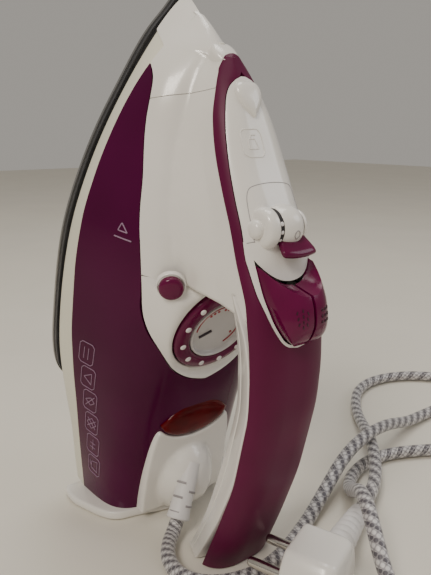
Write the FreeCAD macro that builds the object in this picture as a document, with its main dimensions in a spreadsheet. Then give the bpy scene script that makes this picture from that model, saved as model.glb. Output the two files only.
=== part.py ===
"""Steam iron standing on its heel: soleplate, water tank, handle, controls, pumps, cord and plug.

Every sub-part is drawn as the iron lies on its sole: x runs forward to the tip, y to the iron's left
and z up from the sole's face. The placement STAND then sets the iron on its heel: in the row frame +Z is
up, +X is the handle's side, and the origin is on the heel plate's foot face, in the middle plane.
"""
import FreeCAD, Part
import math
import os

from FreeCAD import Matrix, Placement, Rotation, Vector

doc = FreeCAD.newDocument("steam_iron")

# ---------------------------------------------------------------- driving dimensions (mm, degrees)
SIZES = [
    ("lean", 14.2, "tilt of the sole from upright when the iron stands on its heel"),
    ("heel_mid", 35.0, "distance along the floor from the sole line to the row origin"),
    ("body_length", 281.0, "heel line to tip, along the sole"),
    ("body_half", 56.0, "half the soleplate's width"),
    ("sole_rear", 78.0, "rear edge of the soleplate"),
    ("skin", 1.5, "stainless sole skin"),
    ("flange", 2.1, "visible edge of the casting"),
    ("seal", 2.4, "heat seal between casting and skirt"),
    ("casting", 6.0, "height of the sole casting above the skin"),
    ("skirt_top", 18.0, "upper edge of the skirt"),
    ("wall", 2.2, "wall of the moulded housings"),
    ("heel_thick", 5.0, "heel plate"),
    ("grip_wall", 2.4, "wall of the handle's shells"),
    ("gap", 0.35, "clearance round pieces that move"),
    ("dial_pos", 138.0, "dial's centre along the iron"),
    ("dial_rise", 63.0, "dial seat's height at its centre"),
    ("dial_tilt", 12.0, "backward tilt of the dial"),
    ("dial_radius", 25.0, "temperature dial"),
    ("dial_thick", 6.0, "height of the dial"),
    ("shaft_radius", 3.0, "thermostat shaft"),
    ("knob_pos", 200.0, "selector axis along the iron"),
    ("knob_rise", 93.5, "selector axis height"),
    ("knob_radius", 9.0, "steam selector drum"),
    ("knob_half", 6.5, "half the drum's width"),
    ("button_half", 16.5, "half the width of the two buttons together"),
    ("button_split", 1.2, "gap between the two buttons"),
    ("hinge_pos", 156.0, "button axle along the iron"),
    ("hinge_rise", 109.0, "button axle height"),
    ("axle_radius", 1.5, "button axle"),
    ("pump_pos", 174.0, "pump axes along the iron"),
    ("pump_offset", 7.8, "pump axes from the middle plane"),
    ("pump_radius", 5.4, "outside of a pump cylinder"),
    ("piston_radius", 3.4, "pump piston"),
    ("pump_low", 70.0, "underside of the pump cylinders"),
    ("pump_high", 92.0, "top of the pump cylinders"),
    ("valve_radius", 1.8, "steam valve rod"),
    ("clean_pos", 164.0, "self-clean button along the iron"),
    ("clean_side", 30.0, "self-clean button from the middle plane"),
    ("clean_radius", 5.6, "self-clean button"),
    ("cord", 7.5, "cord diameter"),
    ("guard_radius", 5.9, "cord guard"),
    ("pin_radius", 2.4, "plug pin"),
    ("pin_length", 19.0, "plug pin"),
    ("pin_pitch", 19.0, "distance between the plug pins"),
]
sheet = doc.addObject("Spreadsheet::Sheet", "Sizes")
for line, (alias, value, note) in enumerate(SIZES, start=1):
    sheet.set(f"A{line}", str(value))
    sheet.setAlias(f"A{line}", alias)
    sheet.set(f"B{line}", note)
doc.recompute()
size = {alias: float(sheet.get(alias)) for alias, _, _ in SIZES}
WALL, GRIP_WALL, GAP = size["wall"], size["grip_wall"], size["gap"]
CORD = size["cord"]

lean = math.radians(size["lean"])
STAND = Placement(
    Matrix(
        math.sin(lean), 0, math.cos(lean), -size["heel_mid"],
        0, -1, 0, 0,
        math.cos(lean), 0, -math.sin(lean), 0,
        0, 0, 0, 1,
    )
)  # fmt: skip
LYING = STAND.inverse()
UP = Vector(math.cos(lean), 0, -math.sin(lean))  # the standing iron's upward, on the lying iron
X, Y, Z = Vector(1, 0, 0), Vector(0, 1, 0), Vector(0, 0, 1)
NODES = []


# ---------------------------------------------------------------- helpers
def node(label, obj, place=None):
    """Names a sub-part and stands it on the heel; place is where it is on the lying iron."""
    obj.Label = label
    obj.Placement = STAND.multiply(place or Placement())
    NODES.append(obj)
    return obj


def shaped(label, shape, place=None):
    """A free-form sub-part, made with Part's own functions."""
    obj = doc.addObject("Part::Feature", label)
    obj.Shape = shape.removeSplitter() if shape.ShapeType in ("Solid", "Compound") else shape
    return node(label, obj, place)


def seat(at, axis=Z):
    return Placement(Vector(*at), Rotation(Z, axis))


def turned(label, profile, place):
    """A PartDesign body: corners (radius, height) turned about the body's own Z axis."""
    body = doc.addObject("PartDesign::Body", label)
    sketch = body.newObject("Sketcher::SketchObject", label + "_profile")
    plane = next(f for f in body.Origin.OriginFeatures if f.Role == "XZ_Plane")
    sketch.AttachmentSupport = [(plane, "")]
    sketch.MapMode = "FlatFace"
    corners = [Vector(radius, height, 0) for radius, height in profile]
    for a, b in zip(corners, corners[1:] + corners[:1]):
        sketch.addGeometry(Part.LineSegment(a, b), False)
    turn = body.newObject("PartDesign::Revolution", label + "_turn")
    turn.Profile = sketch
    turn.ReferenceAxis = (sketch, ["V_Axis"])
    turn.Angle = 360
    body.Tip = turn
    return node(label, body, place)


def rod(label, radius, height, place):
    """A Part::Cylinder whose radius and height are rules on the sheet."""
    obj = doc.addObject("Part::Cylinder", label)
    obj.setExpression("Radius", radius)
    obj.setExpression("Height", height)
    return node(label, obj, place)


def block(label, length, width, height, place):
    """A Part::Box on the middle plane's left, set by rules or numbers."""
    obj = doc.addObject("Part::Box", label)
    for prop, rule in (("Length", length), ("Width", width), ("Height", height)):
        obj.setExpression(prop, str(rule))
    return node(label, obj, place)


def cylinder(radius, low, high, axis=Z):
    """A solid round bar from point low, as long as high."""
    return Part.makeCylinder(radius, high, Vector(*low), axis)


def prism(points, along):
    points = [Vector(*p) for p in points]
    return Part.Face(Part.makePolygon(points + points[:1])).extrude(Vector(*along))


def mirrored(half):
    """A closed outline from one half, (x, half width) from front to rear."""
    return list(half) + [(x, -y) for x, y in reversed(half) if y > 0]


def plan(half, low, high):
    """Upright block over an outline that is the same on both sides."""
    return prism([(x, y, low) for x, y in mirrored(half)], (0, 0, high - low))


def boat(half, height):
    """A sole-shaped wire: one curve round the tip from rear corner to rear corner, and a straight back."""
    left = [Vector(x, y, height) for x, y in half]
    right = [Vector(x, -y, height) for x, y in half[1:]]
    curve = Part.BSplineCurve()
    curve.interpolate(right[::-1] + left)
    return Part.Wire([curve.toShape(), Part.makeLine(left[-1], right[-1])])


def inset(half, depth):
    """A sole-shaped outline moved inwards by a depth on every side."""
    kept = [[x, y - depth] for x, y in half[1:] if y - depth > 2]
    kept[-1][0] += depth
    tip = kept[0][0] + 1.15 * kept[0][1]
    return [(tip, 0)] + [tuple(p) for p in kept]


def slab(wire, height):
    return Part.Face(wire).extrude(Vector(0, 0, height))


def rib(x, corners):
    """A closed section across the iron: corners (half width, height) from the bottom to the top."""
    left = [Vector(x, y, z) for y, z in corners]
    right = [Vector(x, -y, z) for y, z in reversed(corners)]
    return Part.makePolygon(left + right + left[:1])


def hull(table, inset=0.0, below=0.0):
    """Solid through the sections of a station table, its sides and top moved inwards by inset."""
    wires = []
    for x, *corners in table:
        (w, z), *upper = corners
        shrunk = [(max(w - inset, 0.5), z - below)]
        for i, (y, h) in enumerate(upper):
            shrunk.append((max(y - inset, 0.4), max(h - inset, z - below + 0.3 + 0.2 * i)))
        wires.append(rib(x, shrunk))
    return Part.makeLoft(wires, True, False)


def stretched(table):
    """A table's stations and half widths, scaled with the body's length and width."""
    along, across = size["body_length"] / 281.0, size["body_half"] / 56.0
    if isinstance(table[0][1], tuple):
        return [(x * along, *[(y * across, z) for y, z in corners]) for x, *corners in table]
    return [(x * along, y * across) for x, y in table]


def above_foot(shape, height):
    """The part of a shape that is higher than that above the surface the heel stands on."""
    keep = Part.makeBox(400, 400, 400, Vector(-200, -200, 0))
    keep.Placement = Placement(UP * height, Rotation(Z, UP))
    return shape.common(keep)


def path(points):
    """Straight runs joined by arcs, each as large as 0.45 of its shorter run allows."""
    pts = [Vector(*p) for p in points]
    edges, radii, start = [], [], pts[0]
    for before, at, after in zip(pts, pts[1:], pts[2:]):
        u, v = (before - at).normalize(), (after - at).normalize()
        reach = 0.45 * min((before - at).Length, (after - at).Length)
        half_turn = (math.pi - u.getAngle(v)) / 2
        radius = reach / math.tan(half_turn)
        enter, leave = at + u * reach, at + v * reach
        middle = at + (u + v).normalize() * (radius / math.cos(half_turn) - radius)
        edges += [Part.LineSegment(start, enter).toShape(), Part.Arc(enter, middle, leave).toShape()]
        radii.append(radius)
        start = leave
    edges.append(Part.LineSegment(start, pts[-1]).toShape())
    return Part.Wire(edges), radii


def tube(points, radius, bore=0.0):
    """A bent tube or rod along runs and arcs."""
    wire, _ = path(points)
    first, second = Vector(*points[0]), Vector(*points[1])

    def sweep(r):
        ring = Part.Wire(Part.makeCircle(r, first, second - first))
        return wire.makePipeShell([ring], True, False)

    solid = sweep(radius)
    expected = math.pi * radius**2 * wire.Length
    if abs(solid.Volume / expected - 1) > 0.01:
        raise RuntimeError(f"tube volume {solid.Volume:.0f}, expected {expected:.0f}")
    return solid.cut(sweep(bore)) if bore else solid


def standing(points):
    """Points of the standing iron's frame, on the lying iron."""
    return [tuple(LYING.multVec(Vector(*p))) for p in points]


# ---------------------------------------------------------------- outlines and stations of the body
SOLE = stretched([
    (281, 0), (275, 5.5), (264, 14), (241, 27), (218, 38), (196, 46), (173, 52), (147, 55),
    (121, 56), (97, 55), (85, 51), (78.5, 42),
])  # fmt: skip
SKIRT_LOW = stretched([
    (279, 0), (273, 6), (263, 13.5), (241, 26.3), (218, 37.3), (196, 45.3), (173, 51.3), (147, 54.4),
    (121, 55.4), (100, 54.6), (73, 50), (47, 45), (22, 42), (-4, 38),
])  # fmt: skip
SKIRT_TOP = stretched([
    (272, 0), (266, 7), (257, 16.6), (241, 28.5), (221, 38.5), (200, 46), (178, 51.2), (153, 53.4),
    (126, 53.6), (100, 51.8), (73, 48.6), (47, 45.6), (22, 42.4), (-4, 39),
])  # fmt: skip
BODY = stretched([
    (-4, (39, 18), (38, 50.5), (25, 54), (12, 55)),
    (22, (42.4, 18), (38, 51), (25.5, 55.5), (12, 56.5)),
    (47, (45.6, 18), (38, 51.5), (26, 57), (12, 58)),
    (73, (48.6, 18), (38.2, 52.5), (27, 58.5), (12, 60)),
    (100, (51.8, 18), (38.4, 55), (27, 61), (12, 62.5)),
    (126, (53.6, 18), (37.8, 58.5), (27, 64), (12, 66)),
    (153, (53.4, 18), (37.2, 60), (28, 66), (12, 69)),
    (178, (51.2, 18), (37, 54.5), (27, 61), (11, 65)),
    (200, (46, 18), (34.4, 46), (25, 54), (10, 58)),
    (221, (38.5, 18), (30.4, 38), (21, 46), (9, 50)),
    (241, (28.5, 18), (25, 31), (17, 39.5), (7, 44)),
    (257, (16.6, 18), (15, 24), (10, 32.5), (4, 38)),
    (266, (7, 18), (6.2, 21), (4, 26), (2, 29)),
    (272, (1, 18), (0.9, 18.4), (0.8, 18.8), (0.6, 19.2)),
])  # fmt: skip
PILLAR = stretched([
    (163, (26, 50), (23, 68), (18.5, 86), (17, 100)),
    (180, (29, 50), (25.5, 65), (20, 82), (18.3, 94)),
    (196, (29, 46), (25, 58), (19.3, 74), (18, 86)),
    (209, (27, 40), (23.5, 51), (18.5, 65), (17.6, 76)),
    (223, (24.5, 34), (20.5, 45), (17, 56), (16.2, 66)),
    (236, (21.5, 30), (17, 40), (14.5, 50), (13.6, 60)),
    (247, (16, 28), (13, 36), (10.5, 44.5), (9.5, 54)),
    (256, (8.5, 26), (7.5, 33), (5.5, 39.5), (4.5, 47)),
])  # fmt: skip
SHELL_PLAN = stretched([
    (276, 0), (273, 6), (257, 20), (246, 24), (238, 27), (228, 30), (207, 34), (180, 37.8), (152, 38),
    (139, 35.5), (127, 28.5), (116, 21.5), (109, 12.5), (105.5, 3), (105, 0),
])  # fmt: skip
COVER_PLAN = stretched([(66.5, 0), (67.4, 8), (70.5, 16), (76, 21.5), (68, 24.3), (49, 26), (35, 26.6), (-4, 26)])
LENS_PLAN = stretched([(89.5, 0), (88, 8), (84.5, 15), (79, 21), (73, 17.6), (69, 10.5), (67.6, 4), (67.4, 0)])
HANDLE = stretched([
    (8, (19.5, 96), (20.3, 100.5), (17.5, 107), (11, 112)),
    (26, (19.8, 102), (20.6, 106), (17.5, 113), (10, 117)),
    (46, (20, 108), (20.6, 110.6), (17, 117), (9, 120.5)),
    (66, (20, 113), (20.5, 114.4), (16.6, 120), (9, 123)),
    (93, (20, 117), (20.4, 118), (16.4, 122.4), (9, 125.2)),
    (121, (20, 117), (20.4, 118), (16.6, 122), (9, 124.6)),
    (140, (20, 114), (20.2, 115.2), (17, 119.6), (9, 122)),
    (155, (19.8, 108), (20, 110.6), (17.6, 115.6), (9, 118.4)),
    (170, (19.5, 96), (20, 102), (18.4, 109), (10, 113)),
    (187, (19, 86), (19.5, 91), (17, 98), (9, 103)),
    (198, (18.7, 79), (19.2, 84), (16.5, 91), (9, 97.2)),
    (209, (18.2, 70.5), (18.7, 75.5), (16.2, 82), (9, 89)),
    (222, (17.2, 61), (17.6, 66), (15.4, 72.5), (8.5, 78)),
    (235, (15, 54), (15.3, 58), (13.3, 63.5), (7.5, 68.5)),
    (245, (11.4, 50), (11.6, 52.5), (10, 56.5), (6, 60.5)),
    (252, (8, 47.5), (8, 49), (6.6, 51.5), (4, 54.5)),
    (258, (3.5, 45), (3.4, 46), (3, 47), (2, 48.5)),
])  # fmt: skip
FRAME = stretched([
    (8, (16, 84), (19.4, 96)),
    (26, (16, 92), (19.7, 102)),
    (46, (16.5, 97.5), (19.9, 108)),
    (66, (16.5, 101), (19.9, 113)),
    (93, (16.5, 104), (19.9, 117)),
    (121, (16.5, 105.5), (19.9, 117)),
    (140, (16.5, 102), (19.9, 114)),
    (155, (16.5, 97), (19.7, 108)),
    (170, (16.5, 88), (19.4, 96)),
])  # fmt: skip
CAP_PLAN = stretched([
    (252, 0), (250.5, 4), (247, 7.8), (240, 11), (230, 13.6), (216, 15.4), (200, 16.4), (187.5, 17), (187.5, 0),
])  # fmt: skip

foot_cut = size["heel_thick"]
body = above_foot(hull(BODY), foot_cut)
body_in = above_foot(hull(BODY, WALL + 0.2, 1.0), foot_cut)
tank_room = above_foot(hull(BODY, 2 * WALL + 0.2, -WALL), foot_cut + WALL)
shell_plan = plan(SHELL_PLAN, 0, 120)
handle_solid = above_foot(hull(HANDLE), 0)
pillar = hull(PILLAR).cut(handle_solid)
frame_solid = above_foot(hull(FRAME), 0)

# dial seat: a disc square to the dial's own axis
dial_axis = Vector(-math.sin(math.radians(size["dial_tilt"])), 0, math.cos(math.radians(size["dial_tilt"])))
dial_seat = Vector(size["dial_pos"], 0, size["dial_rise"])
dial_well = cylinder(size["dial_radius"] + GAP, dial_seat, 30, dial_axis)
dial_rim = cylinder(size["dial_radius"] + GAP + 3.4, dial_seat - dial_axis * 8, 11.0, dial_axis)
shaft_hole = cylinder(size["shaft_radius"] + GAP, (size["dial_pos"], 0, 0), 100)

# self-clean button: square to the shell's shoulder
clean_axis = Vector(-0.1, 0.5, 0.86).normalize()
clean_seat = Vector(size["clean_pos"], size["clean_side"], 65.6)

# selector axis and button axle
knob_at = Vector(size["knob_pos"], 0, size["knob_rise"])
axle_at = Vector(size["hinge_pos"], 0, size["hinge_rise"])
pump_at = {side_name: Vector(size["pump_pos"], sign * size["pump_offset"], 0)
           for side_name, sign in (("spray", 1), ("burst", -1))}


# ---------------------------------------------------------------- sole and heater
def sole_group():
    outline = boat(SOLE, 0)
    skin = slab(outline, size["skin"])
    low, high = size["skin"], size["skin"] + size["flange"]
    holes = [(250, 0), (238, 10), (238, -10), (224, 18), (224, -18), (208, 25), (208, -25), (190, 31), (190, -31),
             (172, 35), (172, -35), (154, 38), (154, -38), (136, 39), (136, -39), (118, 39), (118, -39),
             (232, 0), (214, 8), (214, -8), (196, 13), (196, -13)]  # fmt: skip
    for x, y in stretched(holes):
        skin = skin.cut(cylinder(1.6, (x, y, -1), 4))
    shaped("soleplate_skin", skin)

    edge = slab(boat(inset(SOLE, 0.7), low), size["flange"])
    core = slab(boat(inset(SOLE, 7), high), size["casting"] - size["flange"])
    top = low + size["casting"]
    element_points = stretched([(88, 26), (120, 33), (160, 32), (200, 24), (226, 10), (234, 0)])
    route = [(x, y, top) for x, y in mirrored(element_points)]
    element = tube(route, 3.3)
    chamber_plan = stretched([(208, 0), (200, 10), (170, 21), (130, 23), (98, 20), (96, 0)])
    chamber = plan(chamber_plan, top - 3.0, top)
    casting = edge.fuse(core).cut(element).cut(chamber)
    shaped("sole_casting", casting)
    shaped("heating_element", element)
    lid_plan = stretched([(211, 0), (203, 12), (171, 23.5), (130, 25.5), (95, 22.5), (93, 0)])
    valve_hole = cylinder(2.2, (size["knob_pos"], 0, 0), 40)
    burst_hole = cylinder(2.0, pump_at["burst"], 40)
    lid = plan(lid_plan, top, top + 1.0).cut(valve_hole).cut(burst_hole)
    shaped("steam_chamber_cover", lid)

    ring = slab(boat(inset(SOLE, 2.2), high), size["seal"]).cut(slab(boat(inset(SOLE, 7), high), size["seal"]))
    shaped("heat_seal", ring)


def skirt_group():
    low = size["skin"] + size["flange"] + size["seal"]
    outer = Part.makeLoft([boat(SKIRT_LOW, low), boat(SKIRT_TOP, size["skirt_top"])], True, True)
    inside = slab(boat(inset(SKIRT_LOW, WALL + 1.2)[:-1] + [(-12, 34)], low - 1), 40)
    floor_plan = plan(stretched([(82, 60), (-10, 60)]), low - 1, low + WALL)
    ring = outer.cut(inside).fuse(outer.common(floor_plan))
    shaped("skirt", above_foot(ring.cut(tip_block()), foot_cut))
    return biggest(ring.common(tip_block()))


def tip_block():
    """The front end of the skirt, which the nose shell takes over."""
    low, high = 265.0 * size["body_length"] / 281, 257.0 * size["body_length"] / 281
    return prism([(low, -60, 0), (high, -60, 18.0), (high, -60, 60), (400, -60, 60), (400, -60, 0)], (0, 120, 0))


# ---------------------------------------------------------------- water tank and white shells
TANK_ROOM_END = 250.0  # ahead of this the tank's tip is moulded solid


def tank_group():
    tank = body.cut(shell_plan.common(body.cut(body_in)))
    bay_wall = plan(stretched([(86.4, 22), (-10, 22)]), 0, 120)
    bay = plan(stretched([(84, 19.5), (-10, 19.5)]), 0, 120)
    posts = cylinder(size["shaft_radius"] + GAP + 2, (size["dial_pos"], 0, 0), 100)
    posts = posts.fuse(cylinder(size["valve_radius"] + GAP + 2, (size["knob_pos"], 0, 0), 100))
    posts = posts.fuse(cylinder(2.4 + 2, pump_at["burst"], 100))
    bores = shaft_hole.fuse(cylinder(size["valve_radius"] + GAP, (size["knob_pos"], 0, 0), 100))
    bores = bores.fuse(cylinder(2.4, pump_at["burst"], 100)).fuse(cylinder(2.3, pump_at["spray"] + Z * 40, 60))
    clean_bore = Part.makeCylinder(2.2, 30, clean_seat - clean_axis * 26, clean_axis)
    filler_hole = tube(FILLER, 4.2)
    (room_end, _), = stretched([(TANK_ROOM_END, 0)])
    ahead = Part.makeBox(100, 200, 120, Vector(room_end, -100, 0))
    room = tank_room.cut(ahead).cut(bay_wall).cut(posts)
    tank = tank.cut(room).cut(bay).cut(bores).cut(clean_bore).cut(filler_hole).cut(dial_rim_room())
    tank = tank.cut(plan(COVER_PLAN, 53.4, 120)).cut(plan(LENS_PLAN, 54.6, 120))
    tank = tank.cut(hood_block(0.1)).cut(Part.makeCylinder(2.1, 16, NOZZLE_AT - NOZZLE_AXIS * 6, NOZZLE_AXIS))
    tank = tank.cut(Part.makeCylinder(size["shaft_radius"], 12, dial_seat - dial_axis * 8, dial_axis))
    for wire in WIRES:
        tank = tank.cut(tube(wire, 1.7))
    shaped("water_tank", biggest(tank))


def dial_rim_room():
    return cylinder(size["dial_radius"] + GAP, dial_seat - dial_axis * 2.4, 30, dial_axis)


def biggest(shape):
    return max(shape.Solids, key=lambda s: s.Volume)


def seam_box(front):
    """What lies ahead of, or behind, the slanted seam between nose and deck."""
    low, high = (228.0 * size["body_length"] / 281, 18.0), (247.0 * size["body_length"] / 281, 56.0)
    slope = (high[0] - low[0]) / (high[1] - low[1])
    bottom, top = low[0] - slope * low[1], low[0] + slope * (120 - low[1])
    far = 400 if front else -100
    return prism([(bottom, -80, 0), (top, -80, 120), (far, -80, 120), (far, -80, 0)], (0, 160, 0))


def shell_group(tip):
    skin = shell_plan.common(body.cut(body_in))
    pillar_in = hull([(x + (3 if i == 0 else 0), *[(y - WALL, z + (0 if k else -6)) for k, (y, z) in enumerate(c)])
                      for i, (x, *c) in enumerate(PILLAR)])
    hollow = pillar.cut(pillar_in).cut(body_in)
    both = skin.cut(pillar_in.common(pillar)).fuse(hollow).cut(handle_solid).cut(frame_solid)
    deck = both.common(seam_box(False))
    rim = dial_rim.common(plan(SHELL_PLAN, 50, 120)).cut(body_in)
    deck = deck.fuse(rim).cut(dial_well).cut(shaft_hole)
    deck = deck.cut(Part.makeCylinder(size["clean_radius"] + GAP, 20, clean_seat - clean_axis * 3, clean_axis))
    deck = deck.cut(Part.makeCylinder(2.2, 40, clean_seat - clean_axis * 26, clean_axis))
    shaped("deck_shell", biggest(deck))
    nose = both.common(seam_box(True)).fuse(tip).cut(hood_block(0.1))
    shaped("nose_shell", biggest(nose))


def teardrop(long, wide, tail):
    """A drop-shaped wire round the origin, its blunt end toward +x and its point toward -x."""
    half = [(long, 0), (long * 0.72, wide * 0.72), (0, wide), (-tail * 0.55, wide * 0.55), (-tail, 0)]
    points = [Vector(x, y, 0) for x, y in half] + [Vector(x, -y, 0) for x, y in half[-2:0:-1]]
    curve = Part.BSplineCurve()
    curve.interpolate(points, PeriodicFlag=True)
    return Part.Wire(curve.toShape())


FILLER = [(x * size["body_length"] / 281, 0, z) for x, z in ((239.5, 57), (232, 53), (223, 45))]
HOOD_AT, HOOD_AXIS = Vector(256.0 * size["body_length"] / 281, 0, 42), Vector(0.86, 0, 0.51)
LID_AT, LID_AXIS = Vector(244.5 * size["body_length"] / 281, 0, 60.5), Vector(0.63, 0, 0.78)
LID_DOWN = Vector(LID_AXIS.z, 0, -LID_AXIS.x).normalize()
KNUCKLE, LID_SWING = 1.0, 4.5
LID_HINGE_AT = LID_AT + LID_DOWN * 4.6 - Vector(LID_AXIS).normalize() * KNUCKLE
NOZZLE_AXIS = Vector(0.93, 0, -0.37)
NOZZLE_AT = HOOD_AT + Vector(-1.0, 0, -3.0)
WIRES = [[(74.2, y, 26), (84, y * 1.3, 24), (90, y * 2.4, 17)] for y in (-8, 0.4, 8)]


def drop_block(at, axis, wire, low, high):
    """A drop-shaped block square to a slanted surface; its blunt end points down the slope."""
    solid = Part.Face(wire).extrude(Vector(0, 0, high - low))
    solid.translate(Vector(0, 0, low))
    down = Vector(axis.z, 0, -axis.x)
    turn = Rotation(down, axis.cross(down), axis, "ZXY")
    solid.Placement = Placement(at, turn).multiply(solid.Placement)
    return solid


def hood_block(grow):
    return drop_block(HOOD_AT, HOOD_AXIS, teardrop(8.6 + grow, 6.4 + grow, 10.5 + grow), -6, 3.2)


def lid_block(grow, low=-3.0, high=2.6):
    return drop_block(LID_AT, LID_AXIS, teardrop(6.4 + grow, 6.6 + grow, 9.6 + grow), low, high)


# ---------------------------------------------------------------- handle
def button_plan(grow):
    """The two buttons seen from above: wide at the front, narrowing to a rounded rear end."""
    half = size["button_half"]
    shape = [(188, 0), (188, half), (177, half), (167, half - 1.8), (159, half - 5.4), (153.6, half - 10.6), (152, 0)]
    grown = []
    for x, y in shape:
        shift = grow if x > 180 else -grow if y < half - 8 else -0.4 * grow
        grown.append((x + shift, y + (grow if y else 0)))
    return grown


def button_pocket(grow=0.0):
    """Room for both buttons with their stroke."""
    outline = [(140, 102.5 - grow), (140, 140), (196, 140), (196, 95.5 - grow)]
    room = prism([(x, -40, z) for x, z in outline], (0, 80, 0))
    return room.common(plan(button_plan(0.6 + grow), 60, 160))


def knob_room(grow):
    half = size["knob_half"] + GAP + 4.0 + grow
    return Part.makeCylinder(size["knob_radius"] + 0.8 + grow, 2 * half, knob_at - Y * half, Y)


LEVER_WAY = Vector(-0.75, 0, 0.66).normalize()
LEVER_REACH, LEVER_SWING = 16.2, 55.0


def lever_slot():
    """The sector that the selector's lever sweeps, with room round it."""
    half = size["knob_half"] + 0.4
    rays = [Rotation(Y, a).multVec(LEVER_WAY) * LEVER_REACH for a in (-18, 0, 0.5 * LEVER_SWING, LEVER_SWING, 76)]
    corners = [knob_at - Y * half] + [knob_at + ray - Y * half for ray in rays]
    return prism(corners, Y * 2 * half)


def lid_swing():
    """Room for the lid's blunt end, which dips into the cover as the lid opens."""
    return Part.makeCylinder(LID_SWING, 16, LID_HINGE_AT - Y * 8, Y)


def cheek_balls(radius):
    at = size["knob_half"] + GAP + 4.2
    return Part.makeSphere(radius, knob_at + Y * at).fuse(Part.makeSphere(radius, knob_at - Y * at))


def handle_group():
    drops = (14, 0, GRIP_WALL, GRIP_WALL)
    core = hull([(x, *[(max(y - GRIP_WALL, 0.5), z - drop) for drop, (y, z) in zip(drops, corners)])
                 for x, *corners in HANDLE[:-2]])
    core = above_foot(core, GRIP_WALL)
    shell = handle_solid.cut(core)
    cap_plan = plan(CAP_PLAN, 0, 160)
    purple = shell.cut(cap_plan).cut(button_pocket(1.4)).cut(knob_room(0.1)).cut(hood_block(0.1)).cut(frame_solid)
    shaped("handle_shell", biggest(purple.cut(lid_swing())))
    cover = shell.common(cap_plan).cut(button_pocket(1.4)).cut(knob_room(0.1)).cut(lid_block(0.3))
    cover = cover.cut(hood_block(0.1)).cut(lever_slot()).cut(cheek_balls(4.1)).cut(lid_swing())
    shaped("top_cover", biggest(cover))

    trough = hull([(x, (16.5 - GRIP_WALL, low[1] + GRIP_WALL), (high[0] - GRIP_WALL, high[1] + 0.01))
                   for x, low, high in FRAME[:-1]])
    band = frame_solid.cut(above_foot(trough, GRIP_WALL)).cut(handle_solid).cut(pillar).cut(body)
    band = band.cut(button_pocket(1.4)).cut(hull(PILLAR))
    shaped("handle_frame", biggest(band))

    ring = button_pocket(1.3).common(handle_solid.fuse(frame_solid)).cut(button_pocket(0))
    for at in pump_at.values():
        ring = ring.cut(cylinder(size["piston_radius"] + 0.6, at, 160))
    ring = ring.cut(Part.makeCylinder(size["axle_radius"] + 0.02, 60, axle_at - Y * 30, Y))
    shaped("button_frame", biggest(ring.cut(knob_room(0.1)).cut(lever_slot()).cut(cheek_balls(4.1))))


# ---------------------------------------------------------------- selector
def selector_group():
    half = size["knob_half"]
    drum = Part.makeCylinder(size["knob_radius"], 2 * half, knob_at - Y * half, Y)
    drum = drum.cut(Part.makeCylinder(2.05, 2 * half + 2, knob_at - Y * (half + 1), Y))
    along = LEVER_WAY.cross(Y)
    lever = Part.makeBox(4.2, 2 * half - 1, 8.5)
    lever.translate(Vector(-2.1, -half + 0.5, size["knob_radius"] - 2.5))
    lever = lever.makeFillet(1.2, [e for e in lever.Edges if e.CenterOfMass.z > size["knob_radius"] + 5])
    lever.Placement = Placement(knob_at, Rotation(along * -1, Y, LEVER_WAY, "ZXY")).multiply(lever.Placement)
    shaped("selector_lever", lever.cut(drum).cut(Part.makeCylinder(size["knob_radius"], 40, knob_at - Y * 20, Y)))
    shaped("selector_drum", drum)
    cheeks = []
    for sign in (1, -1):
        inner = half + GAP
        cheek = Part.makeCylinder(size["knob_radius"] - 1.0, 4.0, knob_at + Y * sign * inner, Y * sign)
        ball = Part.makeSphere(4.0, knob_at + Y * sign * (inner + 4.2))
        rest = Part.makeCylinder(size["knob_radius"] + 6, inner, knob_at, Y * sign)
        cheeks.append(cheek.fuse(ball.cut(rest)))
    axle = Part.makeCylinder(2.0, 2 * half + 2 * GAP, knob_at - Y * (half + GAP), Y)
    shaped("selector_cheeks", cheeks[0].fuse(axle).fuse(cheeks[1]))
    low, high = 26.0, size["knob_rise"] - size["knob_radius"] - 0.6
    top = doc.addObject("Part::Cylinder", "valve_rod")
    top.setExpression("Radius", "Sizes.valve_radius")
    top.Height = high - low
    node("steam_valve_rod", top, seat((size["knob_pos"], 0, low)))
    base = size["skin"] + size["casting"] + 1.0
    turned("steam_valve_seat", [
        (0.9, base), (5.5, base), (5.5, base + 3), (4.4, base + 5), (4.4, 16.5), (0.9, 16.5),
    ], seat((size["knob_pos"], 0, 0)))  # fmt: skip


# ---------------------------------------------------------------- buttons and pumps
BUTTON_MID = [(186, 101.5), (186, 112), (183, 119), (163, 125), (154.5, 119), (152.3, 110), (154, 106.2)]
BUTTON_SIDE = [(186.6, 101.2), (186.8, 107), (182, 115), (163, 118), (154.5, 114.5), (152.3, 110), (154, 106.2)]


def button(label, sign):
    near, far = size["button_split"] / 2, size["button_half"]
    wires = []
    for y, outline in ((near, BUTTON_MID), (far * 0.75, BUTTON_MID), (far, BUTTON_SIDE)):
        drop = 0 if y < far * 0.6 else (2.0 if y < far else 0)
        pts = [Vector(x, sign * y, z - (drop if z > 111 else 0)) for x, z in outline]
        wires.append(Part.makePolygon(pts + pts[:1]))
    solid = Part.makeLoft(wires, True, True).common(plan(button_plan(0), 60, 160))
    solid = solid.cut(Part.makeCylinder(size["axle_radius"] + 0.06, 60, axle_at - Y * 30, Y))
    shaped(label, solid)


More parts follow.
